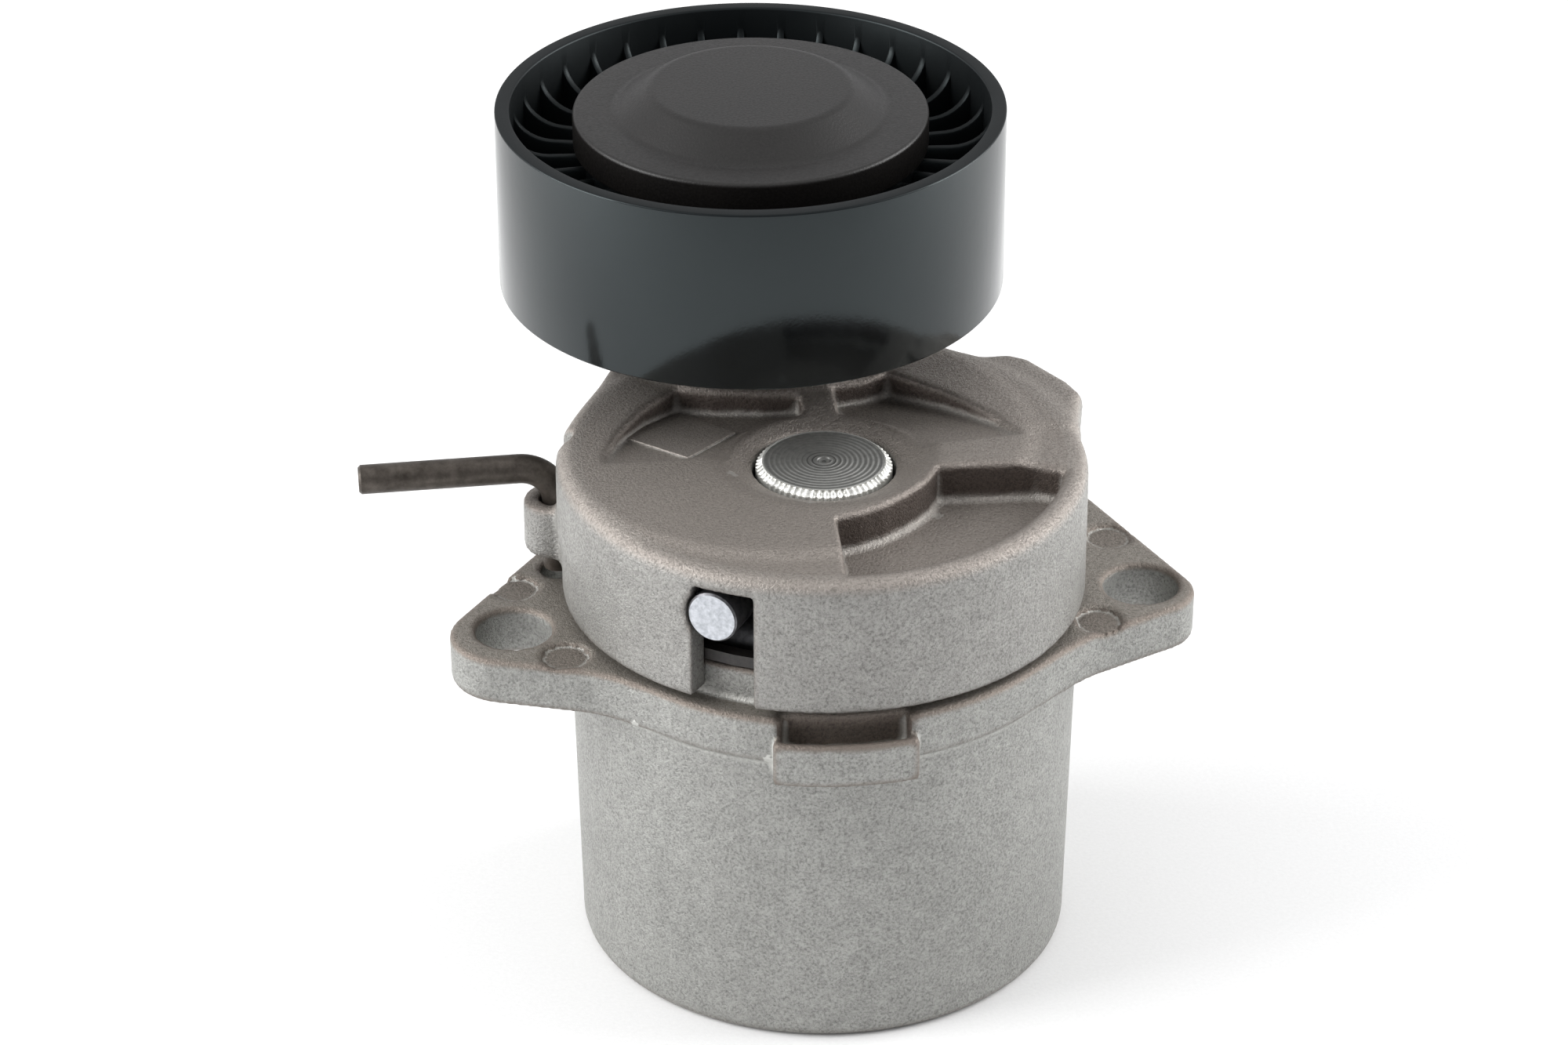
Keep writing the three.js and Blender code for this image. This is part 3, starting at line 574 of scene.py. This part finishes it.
def base_outside(b):
    """Cup, flange with its ears, stop pocket's bulge and upstand."""
    draft = (CUP_TOP_R - CUP_BOTTOM_R) / FLANGE_UNDER
    cup = both(b.r - CUP_BOTTOM_R - b.z * draft, b.slab(0, FLANGE_TOP - 1), 1.3)
    band = either(b.circle(BAND_R), b.polygon(belt_outline(EAR_CORNERS)), 3.5)
    flange = both(band + (FLANGE_TOP - b.z) * 0.012 - 0.04, b.slab(FLANGE_UNDER, FLANGE_TOP), 0.55)
    body = either(cup, flange, 0.7)
    bulge = both(both(b.circle(STOP_R), b.wedge(STOP_FROM, STOP_TO), 0.6), b.slab(STOP_BOTTOM, STOP_LIP + 2))
    bulge = both(both(bulge, STOP_BOTTOM - b.z, 0.7), b.z - STOP_LIP, 0.5)
    body = either(body, bulge, 0.25)
    upstand = both(b.circle(UPSTAND_R), b.slab(FLANGE_TOP - 2, UPSTAND_TOP), 0.3)
    return either(body, upstand, 0.3)


def base_casting():
    b = Block((-53, -40, -1), (52, 39, 58), 0.5)
    body = base_outside(b)
    pocket_wedge = b.wedge(STOP_FROM + STOP_SIDE, STOP_TO - STOP_SIDE)
    pocket = both(both(b.circle(STOP_R - STOP_WALL), pocket_wedge, 0.8),
                  both(CUP_TOP_R - 1.2 - b.r, b.slab(STOP_FLOOR, FLANGE_TOP + 4), 0.4), 0.6)
    body = without(body, pocket, 0.9)
    cavity = both(b.circle(CUP_INNER_R), CUP_FLOOR - b.z, 1.5)
    body = without(body, cavity, 0.3)
    foot = both(b.circle(TUBE_FOOT_R), b.slab(1, TUBE_FOOT_TOP), 0.5)
    tube = both(b.circle(TUBE_R), b.slab(1, TUBE_TOP), 0.4)
    body = either(body, either(foot, tube, 1.0), 1.0)
    body = without(body, both(b.circle(TUBE_BORE), 2 - b.z), 0.3)
    body = without(body, both(b.circle(RECESS_R), b.slab(-3, RECESS_DEPTH)), 0.4)
    notch = both(b.circle(UPSTAND_R + 0.3), b.wedge(NOTCH_FROM, NOTCH_TO))
    body = without(body, both(notch, FLANGE_TOP - b.z), 0.2)
    spring_stop = both(both(b.circle(CUP_INNER_R + 1), TUBE_FOOT_R - 1 - b.r),
                       both(b.wedge(SPRING_STOP_FROM, SPRING_STOP_TO),
                            b.slab(CUP_FLOOR - 1, CUP_FLOOR + SPRING_STOP_HEIGHT), 0.5), 0.5)
    body = either(body, spring_stop, 0.5)
    for at in EAR_HOLES:
        body = without(body, b.circle(EAR_HOLE_R, at), 0.3)
    body = without(body, b.circle(PIN_HOLE_R, PIN_AT), 0.25)
    for at in EJECTORS:
        body = without(body, both(b.circle(EJECTOR_R, at), FLANGE_TOP - 0.5 - b.z), 0.1)
    points, quads = b.mesh(body)
    return piece("base_casting", points, quads, CAST_BASE, "base", ["base_housing"])


def spring_line():
    """The spring's centreline: a helix whose last stretch bends outward into a radial leg."""
    reach = SPRING_R + LEG_BEND
    bend_at = LEG_ANGLE - math.degrees(math.asin(LEG_BEND / reach))
    turns = (SPRING_END - SPRING_START) / SPRING_PITCH
    line = []
    steps = int(turns * 72)
    for k in range(steps):
        back = turns * (1 - k / steps)
        angle = math.radians(bend_at - 360 * back)
        line.append((SPRING_R * math.cos(angle), SPRING_R * math.sin(angle),
                     SPRING_END - back * SPRING_PITCH))
    centre = (reach * math.cos(math.radians(bend_at)), reach * math.sin(math.radians(bend_at)))
    swing = 90 - (LEG_ANGLE - bend_at)
    for k in range(17):
        angle = math.radians(bend_at + 180 - swing * k / 16)
        line.append((centre[0] + LEG_BEND * math.cos(angle), centre[1] + LEG_BEND * math.sin(angle),
                     SPRING_END))
    along = math.radians(LEG_ANGLE)
    line.append((LEG_FACE * math.cos(along), LEG_FACE * math.sin(along), SPRING_END))
    return line


def arc(radius, start, end, steps=24):
    """Points along an arc about the pivot."""
    angles = [math.radians(start + (end - start) * k / steps) for k in range(steps + 1)]
    return [(radius * math.cos(a), radius * math.sin(a)) for a in angles]


def top_pockets(b, body):
    """The front pocket has a level floor; the two at the back sink towards the pulley."""
    front = b.polygon(arc(POCKET_R, POCKET_FROM, POCKET_TO) + POCKET_INNER)
    body = without(body, both(front, DRUM_TOP - POCKET_DEPTH - b.z, 1.0), 0.9)
    floor = DRUM_TOP - BACK_SLOPE * (b.y - FLUSH_Y)
    clear_of_boss = BOSS_R - b.r
    for outline in (RIGHT_POCKET, LEFT_POCKET):
        pocket = both(b.polygon(outline), clear_of_boss, 0.6)
        body = without(body, both(pocket, floor - b.z, 0.8), 1.1)
    return body


def arm_outside(b):
    """Drum, neck, side lug, post and the lock pin's lug."""
    drum = both(b.circle(DRUM_R), b.slab(DRUM_BOTTOM, DRUM_TOP), 0.4)
    drum = both(drum, both(b.circle(DRUM_R), b.z - DRUM_TOP, 2.1))
    neck_line = belt_outline(NECK)
    neck = both(b.polygon(neck_line), b.slab(NECK_UNDER, DRUM_TOP), 1.6)
    lug_line = [(11, 37), (11, 20), (30, 5), (33.2, 5), (35.2, 13.0), (34.3, 15.8), (30.5, 22.6), (29, 23.6),
                (24.8, 23.6), (20.2, 26.2), (15.5, 31.2), (11.6, 37)]
    lug = both(b.polygon(lug_line) - LUG_ROUND, b.slab(LUG_BOTTOM, DRUM_TOP), 1.8)
    seam = np.abs(b.z - LUG_SEAM) - 0.16
    lug = either(lug, both(b.polygon(lug_line) - LUG_ROUND - 0.12, seam))
    body = either(either(drum, neck, 2.0), lug, 1.5)
    post = both(b.circle(POST_R, PULLEY_AT), b.slab(DRUM_TOP - 3, POST_TOP), 0.5)
    plateau = both(b.polygon(neck_line), b.slab(DRUM_TOP - 5, DRUM_TOP + PLATEAU_LIFT), 1.2)
    plateau = both(b.circle(PLATEAU_R, PULLEY_AT), plateau, 1.2)
    body = either(body, either(plateau, post, 1.5), 1.5)
    pin_lug = both(b.polygon(belt_outline([(PIN_AT, PIN_LUG_R), (PIN_LUG_ROOT, PIN_LUG_R)])),
                   b.slab(PIN_LUG_BOTTOM, PIN_LUG_TOP), 0.8)
    return either(body, pin_lug, 1.2)


def spring_room(b):
    """The room under the arm, with a roof that follows the spring's last turn."""
    turned_back = (b.angle - ROOF_TO) % 360
    bend_at = LEG_ANGLE - math.degrees(math.asin(LEG_BEND / (SPRING_R + LEG_BEND)))
    roof = SPRING_END + WIRE_R + WIRE_GAP - SPRING_PITCH * ((bend_at - b.angle) % 360) / 360
    near_window = (360 - turned_back) < (ROOF_TO - ROOF_FROM)
    roof = np.where(near_window | (turned_back < 1), WINDOW_TOP, roof)
    return both(both(b.circle(SKIRT_R), ROOF_R - b.r, 1.0), b.z - roof, 1.0)


def leg_room(b):
    """The room round the spring's radial leg."""
    bar = None
    leg = spring_line()[-22:]
    for (ax, ay, az), (bx, by, bz) in zip(leg, leg[1:]):
        ex, ey, ez = bx - ax, by - ay, bz - az
        along = (b.x - ax) * ex + (b.y - ay) * ey + (b.z - az) * ez
        t = np.clip(along / (ex * ex + ey * ey + ez * ez), 0, 1)
        far = np.sqrt((b.x - ax - t * ex) ** 2 + (b.y - ay - t * ey) ** 2 + (b.z - az - t * ez) ** 2)
        bar = far if bar is None else np.minimum(bar, far)
    return bar - WIRE_R - WIRE_GAP


def arm_casting():
    b = Block((-42, -37, 50), (40, 54.5, 89), 0.5)
    body = without(arm_outside(b), spring_room(b), 0.4)
    hub = both(b.circle(HUB_R), b.slab(HUB_BOTTOM, DRUM_TOP - 2), 0.4)
    body = either(body, hub, 1.0)
    stop_lug = both(b.wedge(STOP_LUG_FROM, STOP_LUG_TO), b.slab(STOP_LUG_BOTTOM, STOP_LUG_TOP))
    body = either(body, both(both(b.circle(SKIRT_R + 1), STOP_LUG_R - b.r), stop_lug, 0.3), 0.4)

    body = top_pockets(b, body)
    body = without(body, both(both(b.circle(DRUM_R + 3), ROOF_R + 0.6 - b.r),
                              both(b.wedge(WINDOW_FROM, WINDOW_TO), b.z - WINDOW_TOP, 0.5)), 0.2)
    body = without(body, leg_room(b), 0.2)
    body = without(body, b.circle(HUB_BORE), 0.2)
    sink = both((SINK_BOTTOM + (b.r - SINK_R) * SINK_SLOPE - b.z) * 0.9, b.circle(SINK_REACH))
    body = without(body, sink, 1.0)
    body = without(body, both(b.circle(HEAD_BORE), HEAD_SEAT - b.z), 0.3)
    body = without(body, both(b.circle(POST_BORE, PULLEY_AT), DRUM_TOP - 1 - b.z), 0.4)
    body = without(body, b.circle(PIN_HOLE_R, PIN_AT), 0.25)
    points, quads = b.mesh(body)
    return piece("arm_casting", points, quads, CAST_ARM, "arm", ["tensioner_arm"])


def cast_pad():
    """The thin raised pad on the left back pocket's sloping floor."""
    low = [(x, y, DRUM_TOP - BACK_SLOPE * (y - FLUSH_Y) - PAD_SUNK) for x, y in PAD]
    high = [(x, y, z + PAD_THICK) for x, y, z in low]
    middle = Vector(high[0]) / 2 + Vector(high[2]) / 2
    inset = [tuple(Vector(c) + (middle - Vector(c)).normalized() * PAD_CHAMFER) for c in high]
    rim = [(x, y, z - PAD_CHAMFER_DROP) for x, y, z in high]
    faces = [(3, 2, 1, 0), (8, 9, 10, 11)]
    for k in range(4):
        j = (k + 1) % 4
        faces += [(k, j, 4 + j, 4 + k), (4 + k, 4 + j, 8 + j, 8 + k)]
    return piece("cast_pad", low + rim + inset, faces, CAST_PAD, "arm", smooth_deg=20)


def spring():
    vertices, faces = swept(spring_line(), WIRE_R, 28, 0.25)
    made = piece("torsion_spring_wire", vertices, faces, WIRE, None, ["torsion_spring"], 40)
    made.data.materials.append(SHEARED)
    made.data.polygons[-1].material_index = 1
    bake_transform(made)
    return made


def pulley():
    """Rim, web and hub turned in one profile, with ribs whose tops sweep up the rim's wall."""
    rim_line = rounded_line([
        (PULLEY_R, 94.0), (PULLEY_R, PULLEY_TOP, 0.28), (RIM_INNER, PULLEY_TOP, 0.3),
        (RIM_INNER - 0.25, WEB_TOP, 1.0), (PHUB_OUTER, WEB_TOP, 1.0), (PHUB_OUTER, PHUB_TOP, 0.4),
        (PHUB_INNER, PHUB_TOP, 0.3), (PHUB_INNER, BEARING_BOTTOM - 0.3), (PHUB_LIP, BEARING_BOTTOM - 0.3),
        (PHUB_LIP, PHUB_BOTTOM, 0.3), (PHUB_OUTER, PHUB_BOTTOM, 0.4), (PHUB_OUTER, WEB_BOTTOM, 1.0),
        (RIM_INNER - 0.25, WEB_BOTTOM, 1.0), (RIM_INNER, PULLEY_BOTTOM, 0.3),
        (PULLEY_R, PULLEY_BOTTOM, 0.28), (PULLEY_R, 93.0)], 4)
    vertices, faces = turned(rim_line[::-1], PULLEY_AT, 288)
    body = piece("pulley_body", vertices, faces, NYLON, None, smooth_deg=50)
    ribs = pulley_ribs()
    cut = body.modifiers.new("ribs", "BOOLEAN")
    cut.operation = "UNION"
    cut.solver = "EXACT"
    cut.object = ribs
    graph = bpy.context.evaluated_depsgraph_get()
    mesh = bpy.data.meshes.new_from_object(body.evaluated_get(graph))
    body.modifiers.clear()
    body.data = mesh
    mesh.shade_smooth()
    mesh.set_sharp_from_angle(angle=math.radians(32))
    bpy.data.objects.remove(ribs)
    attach(body, "pulley")
    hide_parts("pulley")
    return body


def pulley_ribs():
    """Both sides' ribs: flat near the hub, then a quarter sweep up the wall."""
    mesh = bmesh.new()
    inner, outer, half, edge = PHUB_OUTER - 0.6, RIM_INNER + 0.6, 0.55, 0.3

    def outline(sign):
        base = WEB_TOP - 0.6 if sign > 0 else WEB_BOTTOM + 0.6
        level = RIB_TOP if sign > 0 else RIB_UNDER
        start = RIM_INNER - RIB_SWEEP
        line = [(inner, base), (outer, base), (outer, level + sign * RIB_RISE)]
        for k in range(9):
            angle = math.pi / 2 * (1 - k / 8)
            line.append((start + RIB_SWEEP * math.sin(angle),
                         level + sign * RIB_RISE * (1 - math.cos(angle))))
        line.append((inner, level))
        return line

    for sign in (1, -1):
        line = outline(sign)
        for i in range(RIB_COUNT):
            angle = 2 * math.pi * (i + 0.5) / RIB_COUNT
            c, s = math.cos(angle), math.sin(angle)
            sides = []
            for across in (-half, half):
                sides.append([mesh.verts.new(((PULLEY_AT[0] + r * c - across * s) * MM,
                                              (PULLEY_AT[1] + r * s + across * c) * MM, z * MM))
                              for r, z in line])
            n = len(line)
            mesh.faces.new(sides[0])
            mesh.faces.new(sides[1][::-1])
            for k in range(n):
                j = (k + 1) % n
                mesh.faces.new((sides[0][j], sides[0][k], sides[1][k], sides[1][j]))
    bmesh.ops.recalc_face_normals(mesh, faces=mesh.faces)
    tops = [e for e in mesh.edges if abs(e.calc_face_angle(0)) > 1.2
            and all(abs(v.co.z - (WEB_TOP - 0.6) * MM) > 1e-4 and abs(v.co.z - (WEB_BOTTOM + 0.6) * MM) > 1e-4
                    for v in e.verts)]
    bmesh.ops.bevel(mesh, geom=tops, offset=edge * MM, segments=2, profile=0.5, affect="EDGES",
                    clamp_overlap=True)
    data = bpy.data.meshes.new("ribs")
    mesh.to_mesh(data)
    mesh.free()
    made = bpy.data.objects.new("ribs", data)
    bpy.context.scene.collection.objects.link(made)
    return made


def dust_cap():
    wall = 0.8
    line = rounded_line([
        (0, CAP_TOP - wall), (CAP_PLATEAU - 0.2, CAP_TOP - wall, 2.0), (CAP_SLOPE - 0.4, CAP_RIM - wall, 2.0),
        (CAP_R - wall, CAP_RIM - wall, 0.5), (CAP_R - wall, CAP_SKIRT, 0.2), (CAP_R, CAP_SKIRT, 0.2),
        (CAP_R, CAP_RIM, 0.6), (CAP_SLOPE, CAP_RIM, 2.4), (CAP_PLATEAU, CAP_TOP, 2.4), (0, CAP_TOP)], 8)
    vertices, faces = turned(line, PULLEY_AT, 192)
    return piece("cap_pressing", vertices, faces, COAT, "pulley", ["dust_cap"], 45)


def pivot_shaft():
    """The shaft: a turned face with a centre mark, and a coarse bright knurl round its head."""
    teeth, knurl_from, knurl_to = 61, SHAFT_TOP - 2.2, SHAFT_TOP - 0.12

    def knurl(r, z, angle):
        if r < SHAFT_FACE_R + 0.1 or not knurl_from < z < knurl_to:
            return 0.0
        wear = math.sin(7 * angle) + math.sin(17 * angle + 1)
        return -0.14 * (1 + math.sin(teeth * angle)) * (1 + 0.35 * wear)

    line = rounded_line([
        (0, SHAFT_BOTTOM), (SHAFT_NECK_R, SHAFT_BOTTOM, 0.4), (SHAFT_NECK_R, SHAFT_NECK_TOP),
        (SHAFT_R, SHAFT_NECK_TOP, 0.3), (SHAFT_R, SHAFT_HEAD_FROM), (SHAFT_HEAD_R, SHAFT_HEAD_FROM),
        (SHAFT_HEAD_R, SHAFT_TOP - 2.4), (SHAFT_HEAD_R, SHAFT_TOP - 0.75, 0.1),
        (SHAFT_FACE_R + 0.12, SHAFT_TOP - 0.2), (SHAFT_FACE_R, SHAFT_TOP - 0.02),
        (SHAFT_FACE_R - 0.16, SHAFT_TOP), (SHAFT_FACE_R - 0.24, SHAFT_TOP - 0.08),
        (SHAFT_FACE_R - 0.4, SHAFT_TOP - 0.03), (1.25, SHAFT_TOP - 0.03), (1.12, SHAFT_TOP + 0.02),
        (0.98, SHAFT_TOP + 0.02), (0.85, SHAFT_TOP - 0.14), (0.3, SHAFT_TOP - 0.16), (0, SHAFT_TOP - 0.3)], 3)
    vertices, faces = turned(line, (0, 0), 488, knurl)
    made = piece("shaft_turned", vertices, faces, STEEL, "arm", ["pivot_shaft"], 35)
    made.data.materials.append(KNURLED)
    for face in made.data.polygons:
        r = math.hypot(face.center.x, face.center.y) / MM
        if r > SHAFT_FACE_R - 0.12 and face.center.z / MM > knurl_from:
            face.material_index = 1
    return made


def lock_pin():
    line = [(*PIN_AT, PIN_TIP), (*PIN_AT, PIN_BEND_Z - PIN_BEND)]
    corner = Vector((*PIN_AT, PIN_BEND_Z))
    out = (Vector(PIN_END) - corner).normalized()
    middle = corner + out * PIN_BEND - Vector((0, 0, PIN_BEND))
    for k in range(1, 17):
        angle = math.pi / 2 * k / 16
        rise = Vector((0, 0, PIN_BEND * math.sin(angle)))
        line.append(tuple(middle - out * (PIN_BEND * math.cos(angle)) + rise))
    line.append(PIN_END)
    vertices, faces = swept(line, PIN_R, 40, 0.35)
    return piece("lock_pin_bar", vertices, faces, DARK, "lock_pin", ["lock_pin"], 30)


def ring_line(inner, outer, grooved_inside):
    """A bearing ring's section with its ball groove, and seats for the seals in the outer ring."""
    top = BEARING_BOTTOM + BEARING_WIDTH
    middle = BEARING_BOTTOM + BEARING_WIDTH / 2
    shoulder = inner if grooved_inside else outer
    sign = 1 if grooved_inside else -1
    spread = math.acos(abs(shoulder - BALL_CIRCLE_R) / GROOVE_R)
    groove = []
    for k in range(13):
        angle = spread - 2 * spread * k / 12
        across = BALL_CIRCLE_R + sign * GROOVE_R * math.cos(angle)
        groove.append((across, middle + GROOVE_R * math.sin(angle)))
    if not grooved_inside:
        return [(inner, BEARING_BOTTOM), (outer, BEARING_BOTTOM), *groove[::-1], (outer, top), (inner, top)]
    lip = inner + SEAL_LIP
    return [(outer, BEARING_BOTTOM), (outer, top), (lip, top), (lip, top - SEAL_SEAT),
            (inner, top - SEAL_SEAT), *groove, (inner, BEARING_BOTTOM + SEAL_SEAT),
            (lip, BEARING_BOTTOM + SEAL_SEAT), (lip, BEARING_BOTTOM)]


def bearing():
    """Rings and seals as smooth turnings; what lies behind the seals stays as it is in CAD."""
    upper_seal = BEARING_BOTTOM + BEARING_WIDTH - 0.7
    outer, inner = ring_line(OUTER_RING_R, BEARING_R, True), ring_line(BEARING_BORE_R, INNER_RING_R, False)
    steel, rubber = (BEARING_STEEL, "bright_steel"), (RUBBER, "seal_rubber")
    for name, line, body, node, (material, slot) in (
            ("outer_ring_turned", outer, "pulley", "bearing_outer_ring", steel),
            ("inner_ring_turned", inner, "arm", "bearing_inner_ring", steel),
            ("seal_lower_moulded", seal_line(BEARING_BOTTOM + SEAL_INSET), "pulley",
             "bearing_seal_lower", rubber),
            ("seal_upper_moulded", seal_line(upper_seal), "pulley", "bearing_seal_upper", rubber)):
        vertices, faces = turned(line, PULLEY_AT, 128)
        piece(name, vertices, faces, material, body, [node], 35)


def seal_line(bottom):
    top = bottom + SEAL_THICK
    return [(SEAL_INNER_R, bottom), (SEAL_OUTER_R, bottom), (SEAL_OUTER_R, top), (SEAL_INNER_R, top)]


base_casting()
arm_casting()
cast_pad()
spring()
pulley()
dust_cap()
pivot_shaft()
lock_pin()
bearing()

# CAD nodes that stay as they are, each with its own material.
KEPT = {
    "bottom_cap": STEEL, "retaining_plate": STEEL, "pivot_bush_lower": BUSH, "pivot_bush_upper": BUSH,
    "friction_washer": BUSH, "damping_ring": LINER, "bearing_sleeve": BEARING_STEEL, "pulley_bolt": DARK,
    "ball_cage": BEARING_STEEL, **{f"ball_{i}": BEARING_STEEL for i in range(1, 9)},
}
for name, material in KEPT.items():
    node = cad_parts[name]
    node.data.materials.clear()
    node.data.materials.append(material)


# ---- Stage: pale floor, soft light, the camera ---------------------------------------------------
def stage():
    low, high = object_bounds()
    floor = piece("floor", [(-4000, -4000, low[2] / MM), (4000, -4000, low[2] / MM),
                            (4000, 4000, low[2] / MM), (-4000, 4000, low[2] / MM)], [(0, 1, 2, 3)],
                  polymer("floor_paper", (0.86, 0.86, 0.86), (0.9, 0.9, 0.9), 0.8), None)
    floor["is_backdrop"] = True
    world_light()
    for name, at, size, power in (("key_left", (-0.6, 0.0, 0.35), 0.5, 5.0),
                                  ("key_right", (0.62, 0.05, 0.3), 0.45, 4.0)):
        data = bpy.data.lights.new(name, "AREA")
        data.size = size
        data.energy = power
        light = bpy.data.objects.new(name, data)
        bpy.context.scene.collection.objects.link(light)
        light.location = at
        light.rotation_euler = (Vector((0, 0, 0.06)) - light.location).to_track_quat("-Z", "Y").to_euler()


def world_light():
    """A white tent with a darker side towards the viewer."""
    world = bpy.data.worlds.new("studio")
    bpy.context.scene.world = world
    world.use_nodes = True
    nodes, links = world.node_tree.nodes, world.node_tree.links
    split = nodes.new("ShaderNodeSeparateXYZ")
    links.new(nodes.new("ShaderNodeTexCoord").outputs["Generated"], split.inputs[0])
    ramp = nodes.new("ShaderNodeValToRGB")
    ramp.color_ramp.interpolation = "EASE"
    ramp.color_ramp.elements[0].position = 0.05
    ramp.color_ramp.elements[0].color = (0.3, 0.3, 0.31, 1)
    ramp.color_ramp.elements[1].position = 0.5
    ramp.color_ramp.elements[1].color = (1, 1, 1, 1)
    back = ramp.color_ramp.elements.new(0.9)
    back.color = (0.72, 0.72, 0.73, 1)
    shift = nodes.new("ShaderNodeMath")
    shift.operation = "MULTIPLY_ADD"
    shift.inputs[1].default_value = shift.inputs[2].default_value = 0.5
    links.new(split.outputs[1], shift.inputs[0])
    links.new(shift.outputs[0], ramp.inputs[0])
    links.new(ramp.outputs[0], nodes["Background"].inputs["Color"])
    nodes["Background"].inputs["Strength"].default_value = 1.0


def camera():
    """A long lens from 29 degrees up, a little to the left of the front."""
    turn, down, roll = math.radians(7.8), math.radians(29.333), math.radians(-0.115)
    data = bpy.data.cameras.new("camera")
    data.sensor_width = 36.0
    data.lens = 113.046
    cam = bpy.data.objects.new("camera", data)
    bpy.context.scene.collection.objects.link(cam)
    ahead = Vector((math.sin(turn) * math.cos(down), math.cos(turn) * math.cos(down), -math.sin(down)))
    right = Vector((math.cos(turn), -math.sin(turn), 0))
    above = right.cross(ahead)
    turned_axes = Matrix((right, above, -ahead)).transposed()
    cam.matrix_world = (Matrix.Translation(Vector((-83.857, -572.554, 386.068)) * MM)
                        @ turned_axes.to_4x4() @ Matrix.Rotation(roll, 4, "Z"))
    bpy.context.scene.camera = cam


stage()
camera()
bpy.context.scene.view_settings.view_transform = "Standard"
